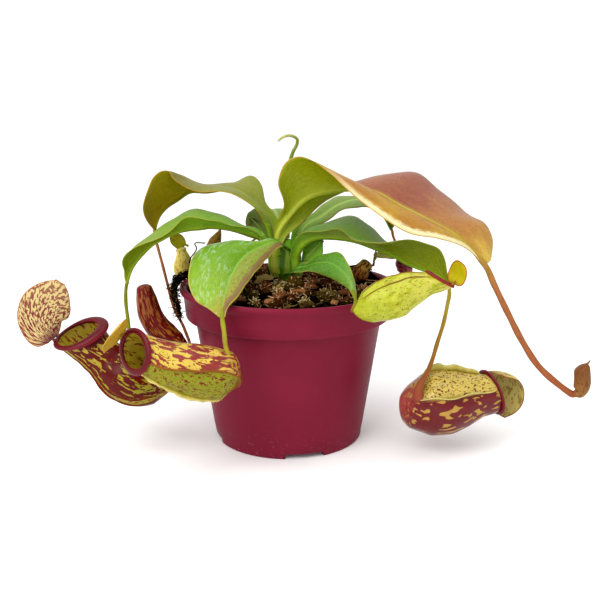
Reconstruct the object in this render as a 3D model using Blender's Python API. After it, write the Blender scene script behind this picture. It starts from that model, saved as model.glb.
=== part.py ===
"""Potted pitcher plant: a small Nepenthes hybrid in a 12 cm nursery pot.

All sizes are millimetres measured from the pot's axis at foot level, +X to the right, -Y to the
front and +Z up. Meshes are written in metres under one empty, which puts the middle of the whole
plant's outline over the origin.
"""
import math
import random
from dataclasses import dataclass

import bmesh
import bpy
import numpy as np
from mathutils import Vector
from mathutils.bvhtree import BVHTree

MM = 0.001
GAP = 0.3                      # clearance between neighbouring solids
PLANT_OFFSET = (-6.7, 2.4)     # where the pot's axis stands, so the whole outline is centred

# Pot
RIM_RADIUS = 60.0
POT_HEIGHT = 87.0
COLLAR_HEIGHT = 17.0
COLLAR_RADIUS = 57.0
FOOT_RADIUS = 41.5
WALL_SLOPE = 0.15              # millimetres of radius per millimetre of height
WALL = 1.3
FLOOR_BOTTOM = 3.0
FLOOR_TOP = 4.5
FOOT_NOTCHES = 4
FOOT_NOTCH_ANGLE = math.radians(30)
FIRST_NOTCH = math.radians(-77)
DRAIN_HOLES = 6
DRAIN_RADIUS = 3.5
DRAIN_CIRCLE = 24.0
FIRST_DRAIN = math.radians(11)
POT_SEGMENTS = 48

# Soil and stem
SOIL_EDGE = 83.5
SOIL_MIDDLE = 91.0
STEM_X = -1.0
STEM_OUTLINE = ((52.0, 3.0), (62.0, 4.6), (88.0, 6.4), (97.0, 7.6), (103.0, 7.0), (108.0, 4.8),
                (111.5, 2.6))    # height and radius, from the roots up to the crown
STEM_BORE_RADIUS = 7.4

# Leaves and tendrils
BLADE_THICKNESS = 0.9
BLADE_RIBS = 3
TENDRIL_SIDES = 7


# ---------------------------------------------------------------- scene helpers

def clear_scene():
    """Remove every object, so that the script can be run again."""
    for item in list(bpy.data.objects):
        bpy.data.objects.remove(item, do_unlink=True)


def finish(name, colour, roughness):
    """Plain Principled material with a base colour and a roughness."""
    material = bpy.data.materials.new(name)
    material.use_nodes = True
    shader = material.node_tree.nodes["Principled BSDF"]
    shader.inputs["Base Color"].default_value = (*colour, 1.0)
    shader.inputs["Roughness"].default_value = roughness
    shader.inputs["Metallic"].default_value = 0.0
    material.diffuse_color = (*colour, 1.0)
    return material


def add_solid(name, points, faces, material, parent):
    """Make one closed mesh object from points in millimetres."""
    mesh = bpy.data.meshes.new(name)
    mesh.from_pydata([Vector(point) * MM for point in points], [], faces)
    work = bmesh.new()
    work.from_mesh(mesh)
    bmesh.ops.recalc_face_normals(work, faces=work.faces)
    bmesh.ops.triangulate(work, faces=[face for face in work.faces if len(face.verts) > 4])
    work.to_mesh(mesh)
    work.free()
    mesh.shade_smooth()
    mesh.set_sharp_from_angle(angle=math.radians(50))
    mesh.materials.append(material)
    item = bpy.data.objects.new(name, mesh)
    bpy.context.collection.objects.link(item)
    item.parent = parent
    return item


def surface_tree(item):
    """Search tree over an object's mesh, in millimetres."""
    points = [vertex.co / MM for vertex in item.data.vertices]
    return BVHTree.FromPolygons(points, [tuple(face.vertices) for face in item.data.polygons])


# ---------------------------------------------------------------- curves and lofts

def resampled(curve, count):
    """Read a polyline again at equal steps of its length."""
    run = np.concatenate([[0.0], np.cumsum(np.linalg.norm(np.diff(curve, axis=0), axis=1))])
    steps = np.linspace(0.0, run[-1], count)
    return np.stack([np.interp(steps, run, curve[:, axis]) for axis in range(3)], axis=1)


def smooth_curve(points, count):
    """Catmull-Rom curve through the points, read at equal steps of length."""
    points = np.array(points, dtype=float)
    knots = np.concatenate([[0.0], np.cumsum(np.linalg.norm(np.diff(points, axis=0), axis=1))])
    slopes = np.gradient(points, knots, axis=0)
    samples = np.linspace(0.0, knots[-1], 30 * len(points))
    spans = np.clip(np.searchsorted(knots, samples, side="right") - 1, 0, len(points) - 2)
    length = (knots[spans + 1] - knots[spans])[:, None]
    t = (samples[:, None] - knots[spans][:, None]) / length
    curve = ((2 * t**3 - 3 * t**2 + 1) * points[spans] + (t**3 - 2 * t**2 + t) * length * slopes[spans]
             + (3 * t**2 - 2 * t**3) * points[spans + 1] + (t**3 - t**2) * length * slopes[spans + 1])
    return resampled(curve, count)


def unit(vectors):
    """Scale one vector or a row of vectors to length one."""
    return vectors / np.linalg.norm(vectors, axis=-1, keepdims=True)


def tangents(curve):
    """Unit direction of a curve at each of its points."""
    return unit(np.gradient(curve, axis=0))


def loft(rings, close_start=True, close_end=True):
    """Faces that join rings of equally many points, with the ends capped."""
    count = len(rings[0])
    points = [tuple(point) for ring in rings for point in ring]
    faces = []
    for row in range(len(rings) - 1):
        for step in range(count):
            following = (step + 1) % count
            faces.append((row * count + step, row * count + following,
                          (row + 1) * count + following, (row + 1) * count + step))
    if close_start:
        faces.append(tuple(reversed(range(count))))
    if close_end:
        faces.append(tuple(range((len(rings) - 1) * count, len(rings) * count)))
    return points, faces


def circle_frames(curve, first_side):
    """Side vectors carried along a curve without twisting."""
    directions = tangents(curve)
    side = np.array(first_side, dtype=float)
    sides = []
    for direction in directions:
        side = side - direction * np.dot(side, direction)
        side = unit(side)
        sides.append(side)
    return directions, np.array(sides)


def tube_rings(curve, radii, sides):
    """Rings of a round tube along a curve."""
    directions, side_vectors = circle_frames(curve, (0.31, 0.17, 0.93))
    rings = []
    for centre, direction, side, radius in zip(curve, directions, side_vectors, radii):
        other = np.cross(direction, side)
        angles = np.arange(sides) * 2 * math.pi / sides
        rings.append([centre + radius * (math.cos(a) * side + math.sin(a) * other) for a in angles])
    return rings


def is_clear(ring, tree, gap):
    """Whether a ring and its middle stay at least one gap away from a surface."""
    return all(tree.find_nearest(Vector(point))[3] >= gap for point in [np.mean(ring, axis=0), *ring])


# ---------------------------------------------------------------- pot, soil and stem

def wall_radius(height):
    """Outer radius of the plain wall at a height."""
    return FOOT_RADIUS + WALL_SLOPE * height


def pot_inside():
    """Half section of the pot's inner face, from the floor's edge up to the rim."""
    collar_bottom = POT_HEIGHT - COLLAR_HEIGHT
    return [(wall_radius(FLOOR_TOP) - WALL - 3.0, FLOOR_TOP),
            (wall_radius(FLOOR_TOP) - WALL - 1.0, FLOOR_TOP + 2.0),
            (wall_radius(collar_bottom) - WALL, collar_bottom - 1.0),
            (COLLAR_RADIUS - WALL - 1.0, collar_bottom + 2.0),
            (COLLAR_RADIUS - WALL, POT_HEIGHT - 4.0)]


def pot_profile():
    """Half section of the pot, from the middle of its floor round the outside and back."""
    collar_bottom = POT_HEIGHT - COLLAR_HEIGHT
    return [
        (0.0, FLOOR_BOTTOM), (FOOT_RADIUS - 3.2, FLOOR_BOTTOM), (FOOT_RADIUS - 2.8, 0.0),
        (FOOT_RADIUS - 0.6, 0.0), (FOOT_RADIUS + 0.1, 0.8), (wall_radius(30), 30.0),
        (wall_radius(collar_bottom), collar_bottom), (COLLAR_RADIUS - 0.6, collar_bottom + 0.6),
        (COLLAR_RADIUS, collar_bottom + 2.0), (COLLAR_RADIUS + 1.2, POT_HEIGHT - 4.2),
        (RIM_RADIUS, POT_HEIGHT - 3.0), (RIM_RADIUS, POT_HEIGHT - 0.8), (RIM_RADIUS - 0.8, POT_HEIGHT),
        (COLLAR_RADIUS - 0.3, POT_HEIGHT - 0.2), *reversed(pot_inside()), (0.0, FLOOR_TOP),
    ]


def spun(profile, segments):
    """Points and faces of a profile turned about the Z axis, ends on the axis."""
    ring_points = profile[1:-1]
    points = [(0.0, 0.0, profile[0][1])]
    for radius, height in ring_points:
        for step in range(segments):
            angle = 2 * math.pi * step / segments
            points.append((radius * math.cos(angle), radius * math.sin(angle), height))
    points.append((0.0, 0.0, profile[-1][1]))
    faces = []
    for step in range(segments):
        following = (step + 1) % segments
        faces.append((0, 1 + following, 1 + step))
        last = 1 + (len(ring_points) - 1) * segments
        faces.append((last + step, last + following, len(points) - 1))
        for row in range(len(ring_points) - 1):
            low = 1 + row * segments
            high = low + segments
            faces.append((low + step, low + following, high + following, high + step))
    return points, faces


def hidden_cutter(name, points, faces, parent):
    """Solid that only cuts others: it is left out of the finished plant."""
    cutter = add_solid(name, points, faces, finish(name, (0.5, 0.5, 0.5), 0.5), parent)
    cutter.hide_render = True
    cutter.display_type = "WIRE"
    return cutter


def cut(item, cutter):
    """Take a cutter's shape out of an object."""
    modifier = item.modifiers.new(cutter.name, "BOOLEAN")
    modifier.operation = "DIFFERENCE"
    modifier.solver = "EXACT"
    modifier.object = cutter


def build_pot(parent):
    """Collared plastic pot with a notched foot and drain holes."""
    points, faces = spun(pot_profile(), POT_SEGMENTS)
    pot = add_solid("pot", points, faces, finish("pot plastic", (0.22, 0.02, 0.035), 0.42), parent)
    for index in range(FOOT_NOTCHES):
        middle = FIRST_NOTCH + index * 2 * math.pi / FOOT_NOTCHES
        outline = []
        for radius, reach in ((FOOT_RADIUS - 8, 1), (FOOT_RADIUS + 4, 1), (FOOT_RADIUS + 4, -1),
                              (FOOT_RADIUS - 8, -1)):
            angle = middle + reach * FOOT_NOTCH_ANGLE / 2
            outline.append((radius * math.cos(angle), radius * math.sin(angle)))
        rings = [[(x, y, z) for x, y in outline] for z in (-2.0, FLOOR_BOTTOM - 0.2)]
        cut(pot, hidden_cutter(f"foot_notch_{index + 1}", *loft(rings), parent))
    for index in range(DRAIN_HOLES):
        angle = FIRST_DRAIN + 2 * math.pi * index / DRAIN_HOLES
        centre = (DRAIN_CIRCLE * math.cos(angle), DRAIN_CIRCLE * math.sin(angle))
        turns = np.arange(10) * 2 * math.pi / 10
        rings = [[(centre[0] + DRAIN_RADIUS * math.cos(t), centre[1] + DRAIN_RADIUS * math.sin(t), z)
                  for t in turns] for z in (FLOOR_BOTTOM - 2, FLOOR_TOP + 2)]
        cut(pot, hidden_cutter(f"drain_hole_{index + 1}", *loft(rings), parent))
    return pot


def soil_height(x, y):
    """Height of the soil's surface: a low heap, higher at the back right."""
    radius = math.hypot(x, y)
    heap = SOIL_EDGE + (SOIL_MIDDLE - SOIL_EDGE) * math.cos(min(radius / 56.0, 1.0) * math.pi / 2)
    back_heap = 7.0 * math.exp(-((x - 42) ** 2 + (y - 30) ** 2) / 260.0)
    lumps = 0.9 * math.sin(0.31 * x + 1.0) * math.cos(0.27 * y - 0.4)
    return heap + back_heap + lumps


def build_soil(parent):
    """Root ball and peat that fill the pot, with a bore for the stem."""
    lift = np.array([-GAP, GAP / 3])
    side = [tuple(np.array(point) + lift) for point in pot_inside()]
    side[0] = (side[0][0], FLOOR_TOP + GAP)
    top = [(radius, 0.0) for radius in (51.0, 43.0, 34.0, 23.0, 12.0, 0.0)]
    points, faces = spun([(0.0, FLOOR_TOP + GAP), *side, *top], POT_SEGMENTS)
    first_top = 1 + len(side) * POT_SEGMENTS
    for index in range(first_top, len(points)):
        x, y, _ = points[index]
        points[index] = (x, y, soil_height(x, y))
    soil = add_solid("soil", points, faces, finish("peat", (0.05, 0.03, 0.02), 0.95), parent)
    turns = np.arange(16) * 2 * math.pi / 16
    rings = [[(STEM_X + STEM_BORE_RADIUS * math.cos(t), STEM_BORE_RADIUS * math.sin(t), z) for t in turns]
             for z in (STEM_OUTLINE[0][0] - GAP, SOIL_MIDDLE + 8)]
    cut(soil, hidden_cutter("stem_bore", *loft(rings), parent))
    return soil


def build_stem(parent):
    """Short stem that carries every leaf, rooted in the soil."""
    curve = np.array([(STEM_X, 0.0, height) for height, _ in STEM_OUTLINE])
    points, faces = loft(tube_rings(curve, [radius for _, radius in STEM_OUTLINE], 16))
    return add_solid("stem", points, faces, finish("stem", (0.20, 0.30, 0.06), 0.5), parent)


# ---------------------------------------------------------------- leaves and tendrils

@dataclass(frozen=True)
class Leaf:
    """Leaf blade between three rails, seen from base to tip with its upper side up."""
    azimuth: float      # where its base sits round the stem, in degrees
    height: float       # and how high
    mid: tuple          # points of the midrib after the base
    left: tuple         # points of the left margin between base and tip
    right: tuple        # points of the right margin between base and tip
    base: float = 5.0   # width at the stem
    tip: float = 2.2    # width where the tendril begins
    bulge: float = 2.0  # how far each half domes up between midrib and margin
    stations: int = 14  # ribs along the blade


@dataclass(frozen=True)
class Tendril:
    """Tendril that leaves a leaf's tip and runs to its pitcher."""
    route: tuple
    start: float        # radius at the leaf
    end: float          # radius at the pitcher


LEAVES = {
    "tall_right": Leaf(
        azimuth=215, height=107, tip=2.6, stations=20,
        mid=((-5.5, -2.5, 114), (1, -1.5, 125), (10, -3, 134), (25, -6, 139), (45, -10, 139),
             (59, -15, 132), (74, -20, 125), (87, -24, 118), (95, -27, 111), (102, -29.5, 103.2)),
        left=((-1, -3.5, 114), (4, -1, 118), (9, 2, 122), (16, 5, 128), (28, 12, 135), (45, 20, 141),
              (55, 22, 145), (71, 20, 146), (85, 14, 137), (96, 5, 127), (106, -15, 120), (108, -18, 114.5),
              (107.3, -22, 108.3), (104.6, -27.5, 104.2)),
        right=((-7, -1, 119), (-2, -6, 131), (-5, -11, 145), (-1, -12, 154), (5, -15, 157), (13, -20, 156),
               (22, -25, 149.5), (27.1, -28.5, 144.5), (37, -33, 137.1), (50.3, -38, 126.8),
               (62.7, -39, 121), (75.6, -37, 117.9), (88.1, -33, 114.1), (96, -29.2, 108.5))),
    "high_left": Leaf(
        azimuth=150, height=105,
        mid=((-11, 8, 121), (-19, 10, 130), (-31, 10, 138), (-45.6, 8, 137), (-53.7, 6, 137.2),
             (-61.2, 4, 132.6), (-66.5, 2, 129.1), (-70, 0, 125.2), (-71.9, -1, 121), (-72.9, -2, 116.7)),
        left=((-12, 2, 118), (-19, -4, 130), (-27, -6, 136), (-39, -7, 138.5), (-48.3, -6, 138.5),
              (-53.1, -7, 139.7), (-57, -8, 142.3), (-60.5, -9, 145.7), (-62.9, -10, 149.8),
              (-66, -12, 149.6), (-70.1, -13, 146.3), (-73.2, -14, 140.8), (-75.6, -13, 134.6),
              (-76.5, -12, 130.3), (-76.3, -10, 125.7), (-74.9, -7, 121.2)),
        right=((-7, 10, 122), (-13, 14, 131), (-15, 19, 139), (-21, 24, 144), (-33, 26, 139.5),
               (-49, 25, 138.5), (-56.3, 23, 141.4), (-62.4, 21, 145.2), (-67.6, 19, 146.6),
               (-71.7, 16, 143.6), (-75, 13, 137.5), (-76.3, 9, 131), (-76.1, 5, 125.1), (-74.4, 1, 120))),
    "low_left": Leaf(
        azimuth=185, height=102,
        mid=((-11.5, -3, 108.5), (-15.9, -6, 113.7), (-20.3, -8, 115.5), (-25.3, -11, 117.8),
             (-30.3, -14, 119.7), (-35.2, -17, 120.9), (-41.4, -21, 121.8), (-43.8, -24, 121.8),
             (-50.5, -26.5, 121.5), (-54.9, -28, 120.8), (-60.2, -29.5, 119.1), (-64.3, -30, 116.9),
             (-68.4, -31, 114.8), (-74, -31.5, 109.8), (-77.8, -32, 105.5), (-80.5, -32, 101.3),
             (-82.1, -32, 96.9), (-83, -32, 93.6)),
        left=((-11, -6, 110), (-15.7, -9, 116.1), (-20, -12, 119.2), (-24.2, -16, 120.9), (-29, -20, 122.3),
              (-34.4, -25, 124.5), (-40.3, -30, 126.7), (-45, -32, 128.1), (-48.8, -34, 128.6),
              (-52.2, -35.5, 127.8), (-55.8, -36.5, 124.8), (-59.4, -37, 121.7), (-63.5, -37.5, 118.9),
              (-67.1, -38, 117.1), (-71.5, -38.5, 115.9), (-76, -39, 114.4), (-80.2, -39, 111.5),
              (-82.7, -38, 108.3), (-83.9, -36, 104.7), (-83.6, -34, 100.8), (-83.8, -33, 97.1)),
        right=((-12, 3, 112), (-17.7, 1, 117.6), (-24.7, 3, 118.8), (-30.2, 4, 121), (-36.3, 4, 124.1),
               (-42.9, 3, 126.6), (-49, 1, 128.2), (-53.5, -2, 127.7), (-57.9, -5, 126.2),
               (-62.3, -8.5, 123.6), (-66.6, -12, 120.7), (-70.4, -15.5, 118.2), (-74.9, -20, 115.3),
               (-78.1, -23.5, 112.9), (-81.1, -26.5, 110.1), (-83.1, -28.5, 107), (-83.3, -30, 104),
               (-83.2, -31, 100.4))),
    "front_left": Leaf(
        azimuth=275, height=107, base=4.0, tip=2.6, bulge=3.0,
        mid=((-5, -11, 112), (-14, -20, 111), (-24, -34, 106), (-29, -50, 97), (-31, -60, 89),
             (-31, -63, 84)),
        left=((-3, -14, 110), (-10, -26, 106), (-16, -38, 101), (-20, -46, 97), (-24, -54, 92),
              (-29, -60, 87)),
        right=((-8, -9, 113), (-19, -15, 112), (-32, -21, 114), (-41, -27, 113), (-47, -34, 110),
               (-49, -44, 103), (-48, -52, 97), (-44, -58, 91), (-38, -61, 88))),
    "front_small": Leaf(
        azimuth=285, height=94, tip=2.0,
        mid=((5, -13, 98), (10, -18, 100), (16, -28, 104), (23, -41, 106), (28, -51, 104),
             (31, -59, 100), (33, -63, 94)),
        left=((7, -12, 101), (11, -18, 102), (16, -24, 107), (20, -29, 109), (26, -36, 111),
              (30, -46, 108), (33, -56, 101)),
        right=((4, -16, 96), (12, -27, 99), (20, -39, 99), (27, -52, 98), (31, -60, 96))),
    "low_right": Leaf(
        azimuth=310, height=102, tip=2.4,
        mid=((5.5, -8.5, 106), (7.5, -10.5, 109.8), (13.6, -12.5, 114), (24.7, -16, 115.3),
             (35.7, -19, 114), (46.6, -22, 110.5), (54, -23.5, 107.8), (62.2, -25, 103.5),
             (70, -25.5, 100.3), (78.4, -25, 97.2), (84.3, -22, 92.7)),
        left=((5, -2, 112), (10, 4, 116), (17, 9, 118), (27, 14, 121), (38, 16, 122), (46, 12, 117),
              (55, 6, 108.5), (63, 2, 106), (71, -2, 105), (78, -8, 102), (84, -15, 97)),
        right=((2.2, -11, 108), (3.4, -14, 113), (7.6, -17, 117.5), (17.1, -22, 119.6), (27.9, -26, 120.6),
               (33.5, -29, 116.7), (44.3, -32, 114.7), (50.8, -35, 115.9), (60.1, -38, 117.6),
               (67.7, -39, 116.8), (75.8, -37, 113.6), (80.6, -33, 106.9), (83.5, -27, 97.6))),
    "back_right": Leaf(
        azimuth=50, height=104, tip=2.0, bulge=1.5,
        mid=((9, 12, 117), (18, 19, 121), (29, 28, 127), (42, 35, 129), (55, 39, 121), (61, 38, 111)),
        left=((4, 14, 118), (14, 24, 123), (27, 39, 130), (42, 50, 128), (56, 48, 118)),
        right=((12, 9, 115), (23, 15, 120), (29, 21, 124), (42, 25, 126), (55, 29, 122),
               (62, 33, 115))),
    "back": Leaf(
        azimuth=95, height=99, tip=2.0,
        mid=((-6, 18, 115), (-8, 34, 122), (-12, 50, 121), (-17, 64, 112), (-21, 72, 101)),
        left=((-11, 18, 116), (-18, 36, 123), (-25, 52, 119), (-27, 64, 109)),
        right=((-1, 20, 116), (4, 36, 121), (4, 52, 117), (-6, 66, 107))),
    "old_left": Leaf(
        azimuth=132, height=97, base=4.0, tip=1.6, bulge=1.0,
        mid=((-12, 12, 108), (-17, 16, 116), (-22, 19, 121)),
        left=((-15, 9, 108), (-21, 13, 115)),
        right=((-10, 15, 111), (-16, 19, 119))),
    "inner": Leaf(
        azimuth=345, height=96, base=4.0, tip=1.5, bulge=1.0,
        mid=((10, -4, 101), (14, -5, 106), (19, -6, 112)),
        left=((9, -2, 103.5), (13, -2, 109)),
        right=((11, -6, 99.5), (17, -9, 105))),
}

TENDRILS = {
    "tall_right": Tendril(((107, -32, 93), (114, -35, 79), (122, -38, 64), (131, -40, 51), (140, -42, 43),
                           (146.5, -43, 38.3)), 1.6, 1.7),
    "high_left": Tendril(((-71, -3, 107), (-69, -4, 99), (-66, -5, 86), (-63, -6, 74),
                          (-57.5, -8, 63)), 0.8, 0.9),
    "low_left": Tendril(((-83.8, -32.5, 85), (-83, -34, 77), (-82, -35, 68), (-76, -36, 54),
                         (-66, -35, 44)), 0.9, 1.2),
    "front_left": Tendril(((-30, -66, 78), (-29, -66, 69), (-28, -66, 62)), 1.1, 1.1),
    "front_small": Tendril(((33, -64, 91),), 0.8, 0.9),
    "low_right": Tendril(((86, -21, 86), (85, -22, 80), (83, -23.5, 70), (80, -26, 61),
                          (76.2, -30.5, 50.5), (72.5, -36.5, 45.5), (68.5, -41.8, 40.5)), 1.0, 1.5),
    "back_right": Tendril(((62, 38, 107), (65, 37, 100), (68, 35, 92)), 0.8, 0.8),
    "back": Tendril(((-27, 75, 96), (-40, 68, 91), (-53, 54, 86), (-60, 36, 84)), 0.8, 0.8),
}


def full_rails(leaf):
    """Midrib and margins with their ends on the stem and at the tip."""
    azimuth = math.radians(leaf.azimuth)
    outward = np.array([math.cos(azimuth), math.sin(azimuth), 0.0])
    leftward = np.array([-math.sin(azimuth), math.cos(azimuth), 0.0])
    stem_radius = np.interp(leaf.height, *np.array(STEM_OUTLINE).T)
    base = np.array([STEM_X, 0.0, leaf.height]) + (stem_radius + 0.9) * outward
    mid = np.array([base, *leaf.mid], dtype=float)
    heading = mid[-1] - mid[-2]
    tip_left = unit(np.cross((0.0, 0.0, 1.0), heading)) * leaf.tip / 2
    left = [base + leaf.base / 2 * leftward, *leaf.left, mid[-1] + tip_left]
    right = [base - leaf.base / 2 * leftward, *leaf.right, mid[-1] - tip_left]
    return mid, np.array(left, dtype=float), np.array(right, dtype=float)


def blade_surface(leaf):
    """Grid of points over a leaf blade, from the left margin to the right one."""
    mid, left, right = [smooth_curve(rail, leaf.stations) for rail in full_rails(leaf)]
    rows = []
    for centre, edge_left, edge_right, direction in zip(mid, left, right, tangents(mid)):
        upward = unit(np.cross(direction, edge_left - edge_right))
        row = []
        for edge, steps in ((edge_left, range(BLADE_RIBS, 0, -1)), (edge_right, range(BLADE_RIBS + 1))):
            width = np.linalg.norm(edge - centre)
            for step in steps:
                t = step / BLADE_RIBS
                lift = leaf.bulge * min(width / 20.0, 1.0) * 4 * t * (1 - t)
                row.append(centre + (edge - centre) * t + upward * lift)
        rows.append(row)
    return np.array(rows)


def build_blade(name, leaf, material, parent):
    """Thin closed leaf blade."""
    grid = blade_surface(leaf)
    normals = unit(np.cross(np.gradient(grid, axis=0), -np.gradient(grid, axis=1)))
    half = BLADE_THICKNESS / 2
    rings = [list(row + half * normal) + list((row - half * normal)[::-1])
             for row, normal in zip(grid, normals)]
    return add_solid(name, *loft(rings), material, parent)


def build_tendril(name, blade, pitcher_item, material, parent):
    """Tendril from just past a leaf's tip to just short of the pitcher that hangs on it."""
    tendril = TENDRILS[name]
    pitcher = PITCHERS[name]
    mid = full_rails(LEAVES[name])[0]
    heading = unit(mid[-1] - mid[-2])
    start = mid[-1] + heading * GAP
    curve = smooth_curve([start, start + heading * 2.0, *tendril.route, pitcher.axis[0],
                          np.mean(pitcher.axis[:2], axis=0)], 40 * len(tendril.route) + 80)
    rings = tube_rings(curve, np.linspace(tendril.start, tendril.end, len(curve)), TENDRIL_SIDES)
    leaf_tree = surface_tree(blade)
    pitcher_tree = surface_tree(pitcher_item)
    first = next(index for index, ring in enumerate(rings) if is_clear(ring, leaf_tree, 1.5 * GAP))
    last = next(index for index, ring in enumerate(rings) if not is_clear(ring, pitcher_tree, 1.5 * GAP))
    curve = resampled(curve[first:last], 2 * len(tendril.route) + 4)
    radii = np.linspace(tendril.start, tendril.end, len(curve))
    points, faces = loft(tube_rings(curve, radii, TENDRIL_SIDES))
    return add_solid(f"{name}_tendril", points, faces, material, parent)


# ---------------------------------------------------------------- pitchers and lids

@dataclass(frozen=True)
class Pitcher:
    """Pitcher swept along its axis, closed while young or withered, open when it has a mouth."""
    axis: tuple                          # from the base to the middle of the mouth
    radii: tuple                         # at equal steps of the axis
    mouth: tuple = None                  # direction the mouth faces, or None when closed
    hinge: tuple = (1.0, 0.0, 0.0)       # direction of the lid's hinge from the mouth's middle
    stretch: float = 1.0                 # widening of the mouth towards the hinge
    lip: float = 1.6                     # size of the rolled lip
    hollow: float = 0.75                 # part of the length that is hollow
    on_soil: bool = False                # fallen and resting on the soil


@dataclass(frozen=True)
class Lid:
    """Domed oval lid that stands off the back of a pitcher's mouth."""
    axis: tuple                          # points after the hinge, the last one its apex
    width: float
    side: tuple                          # direction across the lid
    bulge: float


PITCHERS = {
    "low_left": Pitcher(
        axis=((-60, -33, 39), (-70, -33, 40), (-79, -33, 40.8), (-86.5, -32.5, 44), (-97.5, -31, 54),
              (-109.4, -30, 65.6)),
        radii=(2.5, 11.0, 13.8, 13.2, 10.6, 10.0, 11.4), mouth=(-0.27, -0.31, 0.90),
        hinge=(-1.0, 0.0, -0.3), stretch=1.14, lip=1.7),
    "front_left": Pitcher(
        axis=((-22, -64, 51), (-29, -65, 54.5), (-42, -67, 58), (-58, -69, 62.8), (-72, -71, 69.3)),
        radii=(3.5, 12.2, 13.2, 13.0, 11.2, 9.8, 9.0), mouth=(-0.62, -0.74, 0.25),
        hinge=(-0.41, 0.73, 0.55), stretch=1.15, lip=1.5),
    "front_small": Pitcher(
        axis=((31.8, -64, 87.6), (37, -63, 88.4), (43.5, -62.5, 90.8), (51.5, -62, 93.8), (61.5, -60, 98.3),
              (74, -58, 101.6)),
        radii=(2.5, 8.0, 10.0, 10.2, 8.4, 6.2, 6.3), mouth=(0.50, 0.05, 0.86),
        hinge=(0.85, 0.0, -0.5), stretch=1.12, lip=0.9, hollow=0.7),
    "low_right": Pitcher(
        axis=((60.5, -28, 30.4), (70, -28, 27.5), (83, -28, 27.5), (96, -27, 29.8), (109.4, -26, 32)),
        radii=(6.5, 14.6, 17.7, 17.9, 15.6, 12.0, 10.2), mouth=(0.88, 0.36, 0.28),
        hinge=(-0.3, 0.0, 1.0), stretch=1.1, lip=1.6),
    "high_left": Pitcher(
        axis=((-54.5, -12, 52.5), (-61.5, -12, 56.5), (-70, -12, 63.5), (-75, -12, 71.5), (-76.8, -12, 80),
              (-78, -12, 89)),
        radii=(1.0, 5.8, 7.0, 6.9, 6.3, 5.7, 3.6)),
    "tall_right": Pitcher(
        axis=((148.2, -43, 37.3), (151.2, -43, 38.4), (152.2, -43, 42), (151.3, -43, 47.5),
              (150.3, -43, 51.6)),
        radii=(1.8, 3.2, 4.1, 4.3, 4.2, 4.0, 3.8)),
    "back_right": Pitcher(
        axis=((68, 34, 83), (69, 34, 87), (68, 33, 91), (64, 33, 94)), radii=(1.0, 4.6, 5.0, 4.6, 3.8),
        hinge=(1.0, 0.0, 0.3)),
    "back": Pitcher(
        axis=((-61.5, 20, 87), (-60.5, 16, 92), (-60, 14, 98.5), (-61.2, 14, 105)),
        radii=(1.0, 3.6, 4.9, 5.3, 4.7, 3.8, 3.6)),
    "withered_right": Pitcher(
        axis=((37, -6, 89), (38, -5, 92), (41, -5, 97), (44, -5, 101)),
        radii=(2.0, 4.4, 4.8, 4.0, 3.4), on_soil=True),
    "withered_left": Pitcher(
        axis=((-44, 19, 91), (-46, 20, 97), (-44.5, 20, 105), (-39, 20, 119)),
        radii=(2.0, 4.4, 4.6, 3.4, 0.6), on_soil=True),
}

LIDS = {
    "low_left": Lid(((-129.5, -30, 67), (-128, -31, 80), (-118.5, -31, 94)), 27.0, (1.0, 0.1, -0.3), -2.0),
    "front_left": Lid(((-82, -73.5, 77), (-84, -80, 76)), 21.0, (0.6, 0.0, 0.8), 1.0),
    "front_small": Lid(((82.7, -57, 103), (82.5, -57, 109.8)), 9.0, (0.75, -0.65, 0.0), 1.0),
    "low_right": Lid(((120.5, -21, 37.5), (123, -21, 28), (119.5, -22, 16.5)), 20.0, (0.5, -0.85, 0.0), -3.0),
    "back_right": Lid(((50, 33, 97),), 9.0, (0.0, 1.0, 0.5), 1.0),
    "back": Lid(((-66.8, 13, 110.5),), 9.0, (0.2, 0.6, 0.8), 1.0),
    "withered_right": Lid(((49, -5, 110),), 6.0, (0.3, 1.0, 0.0), 0.5),
}
LID_THICKNESS = 0.9
STRETCH_FROM = 0.6                       # place along a pitcher where its mouth's oval begins
CUP_SIDES = 16
BUD_SIDES = 10


def cup_frames(pitcher, stations):
    """Centres, facings and two side vectors for each ring of a pitcher."""
    centres = smooth_curve(pitcher.axis, stations)
    facings = tangents(centres)
    if pitcher.mouth is not None:
        mouth = unit(np.array(pitcher.mouth, dtype=float))
        blend = np.clip((np.linspace(0, 1, stations) - 0.55) / 0.45, 0, 1)[:, None] ** 1.5
        facings = unit(facings * (1 - blend) + mouth * blend)
    towards = unit(np.array(pitcher.hinge) - facings * (facings @ np.array(pitcher.hinge))[:, None])
    return centres, facings, towards, np.cross(facings, towards)


def cup_ring(centre, towards, across, radius, stretch, sides):
    """One elliptical ring of a pitcher."""
    angles = np.arange(sides) * 2 * math.pi / sides
    return [centre + radius * (stretch * math.cos(a) * towards + math.sin(a) * across) for a in angles]


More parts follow.
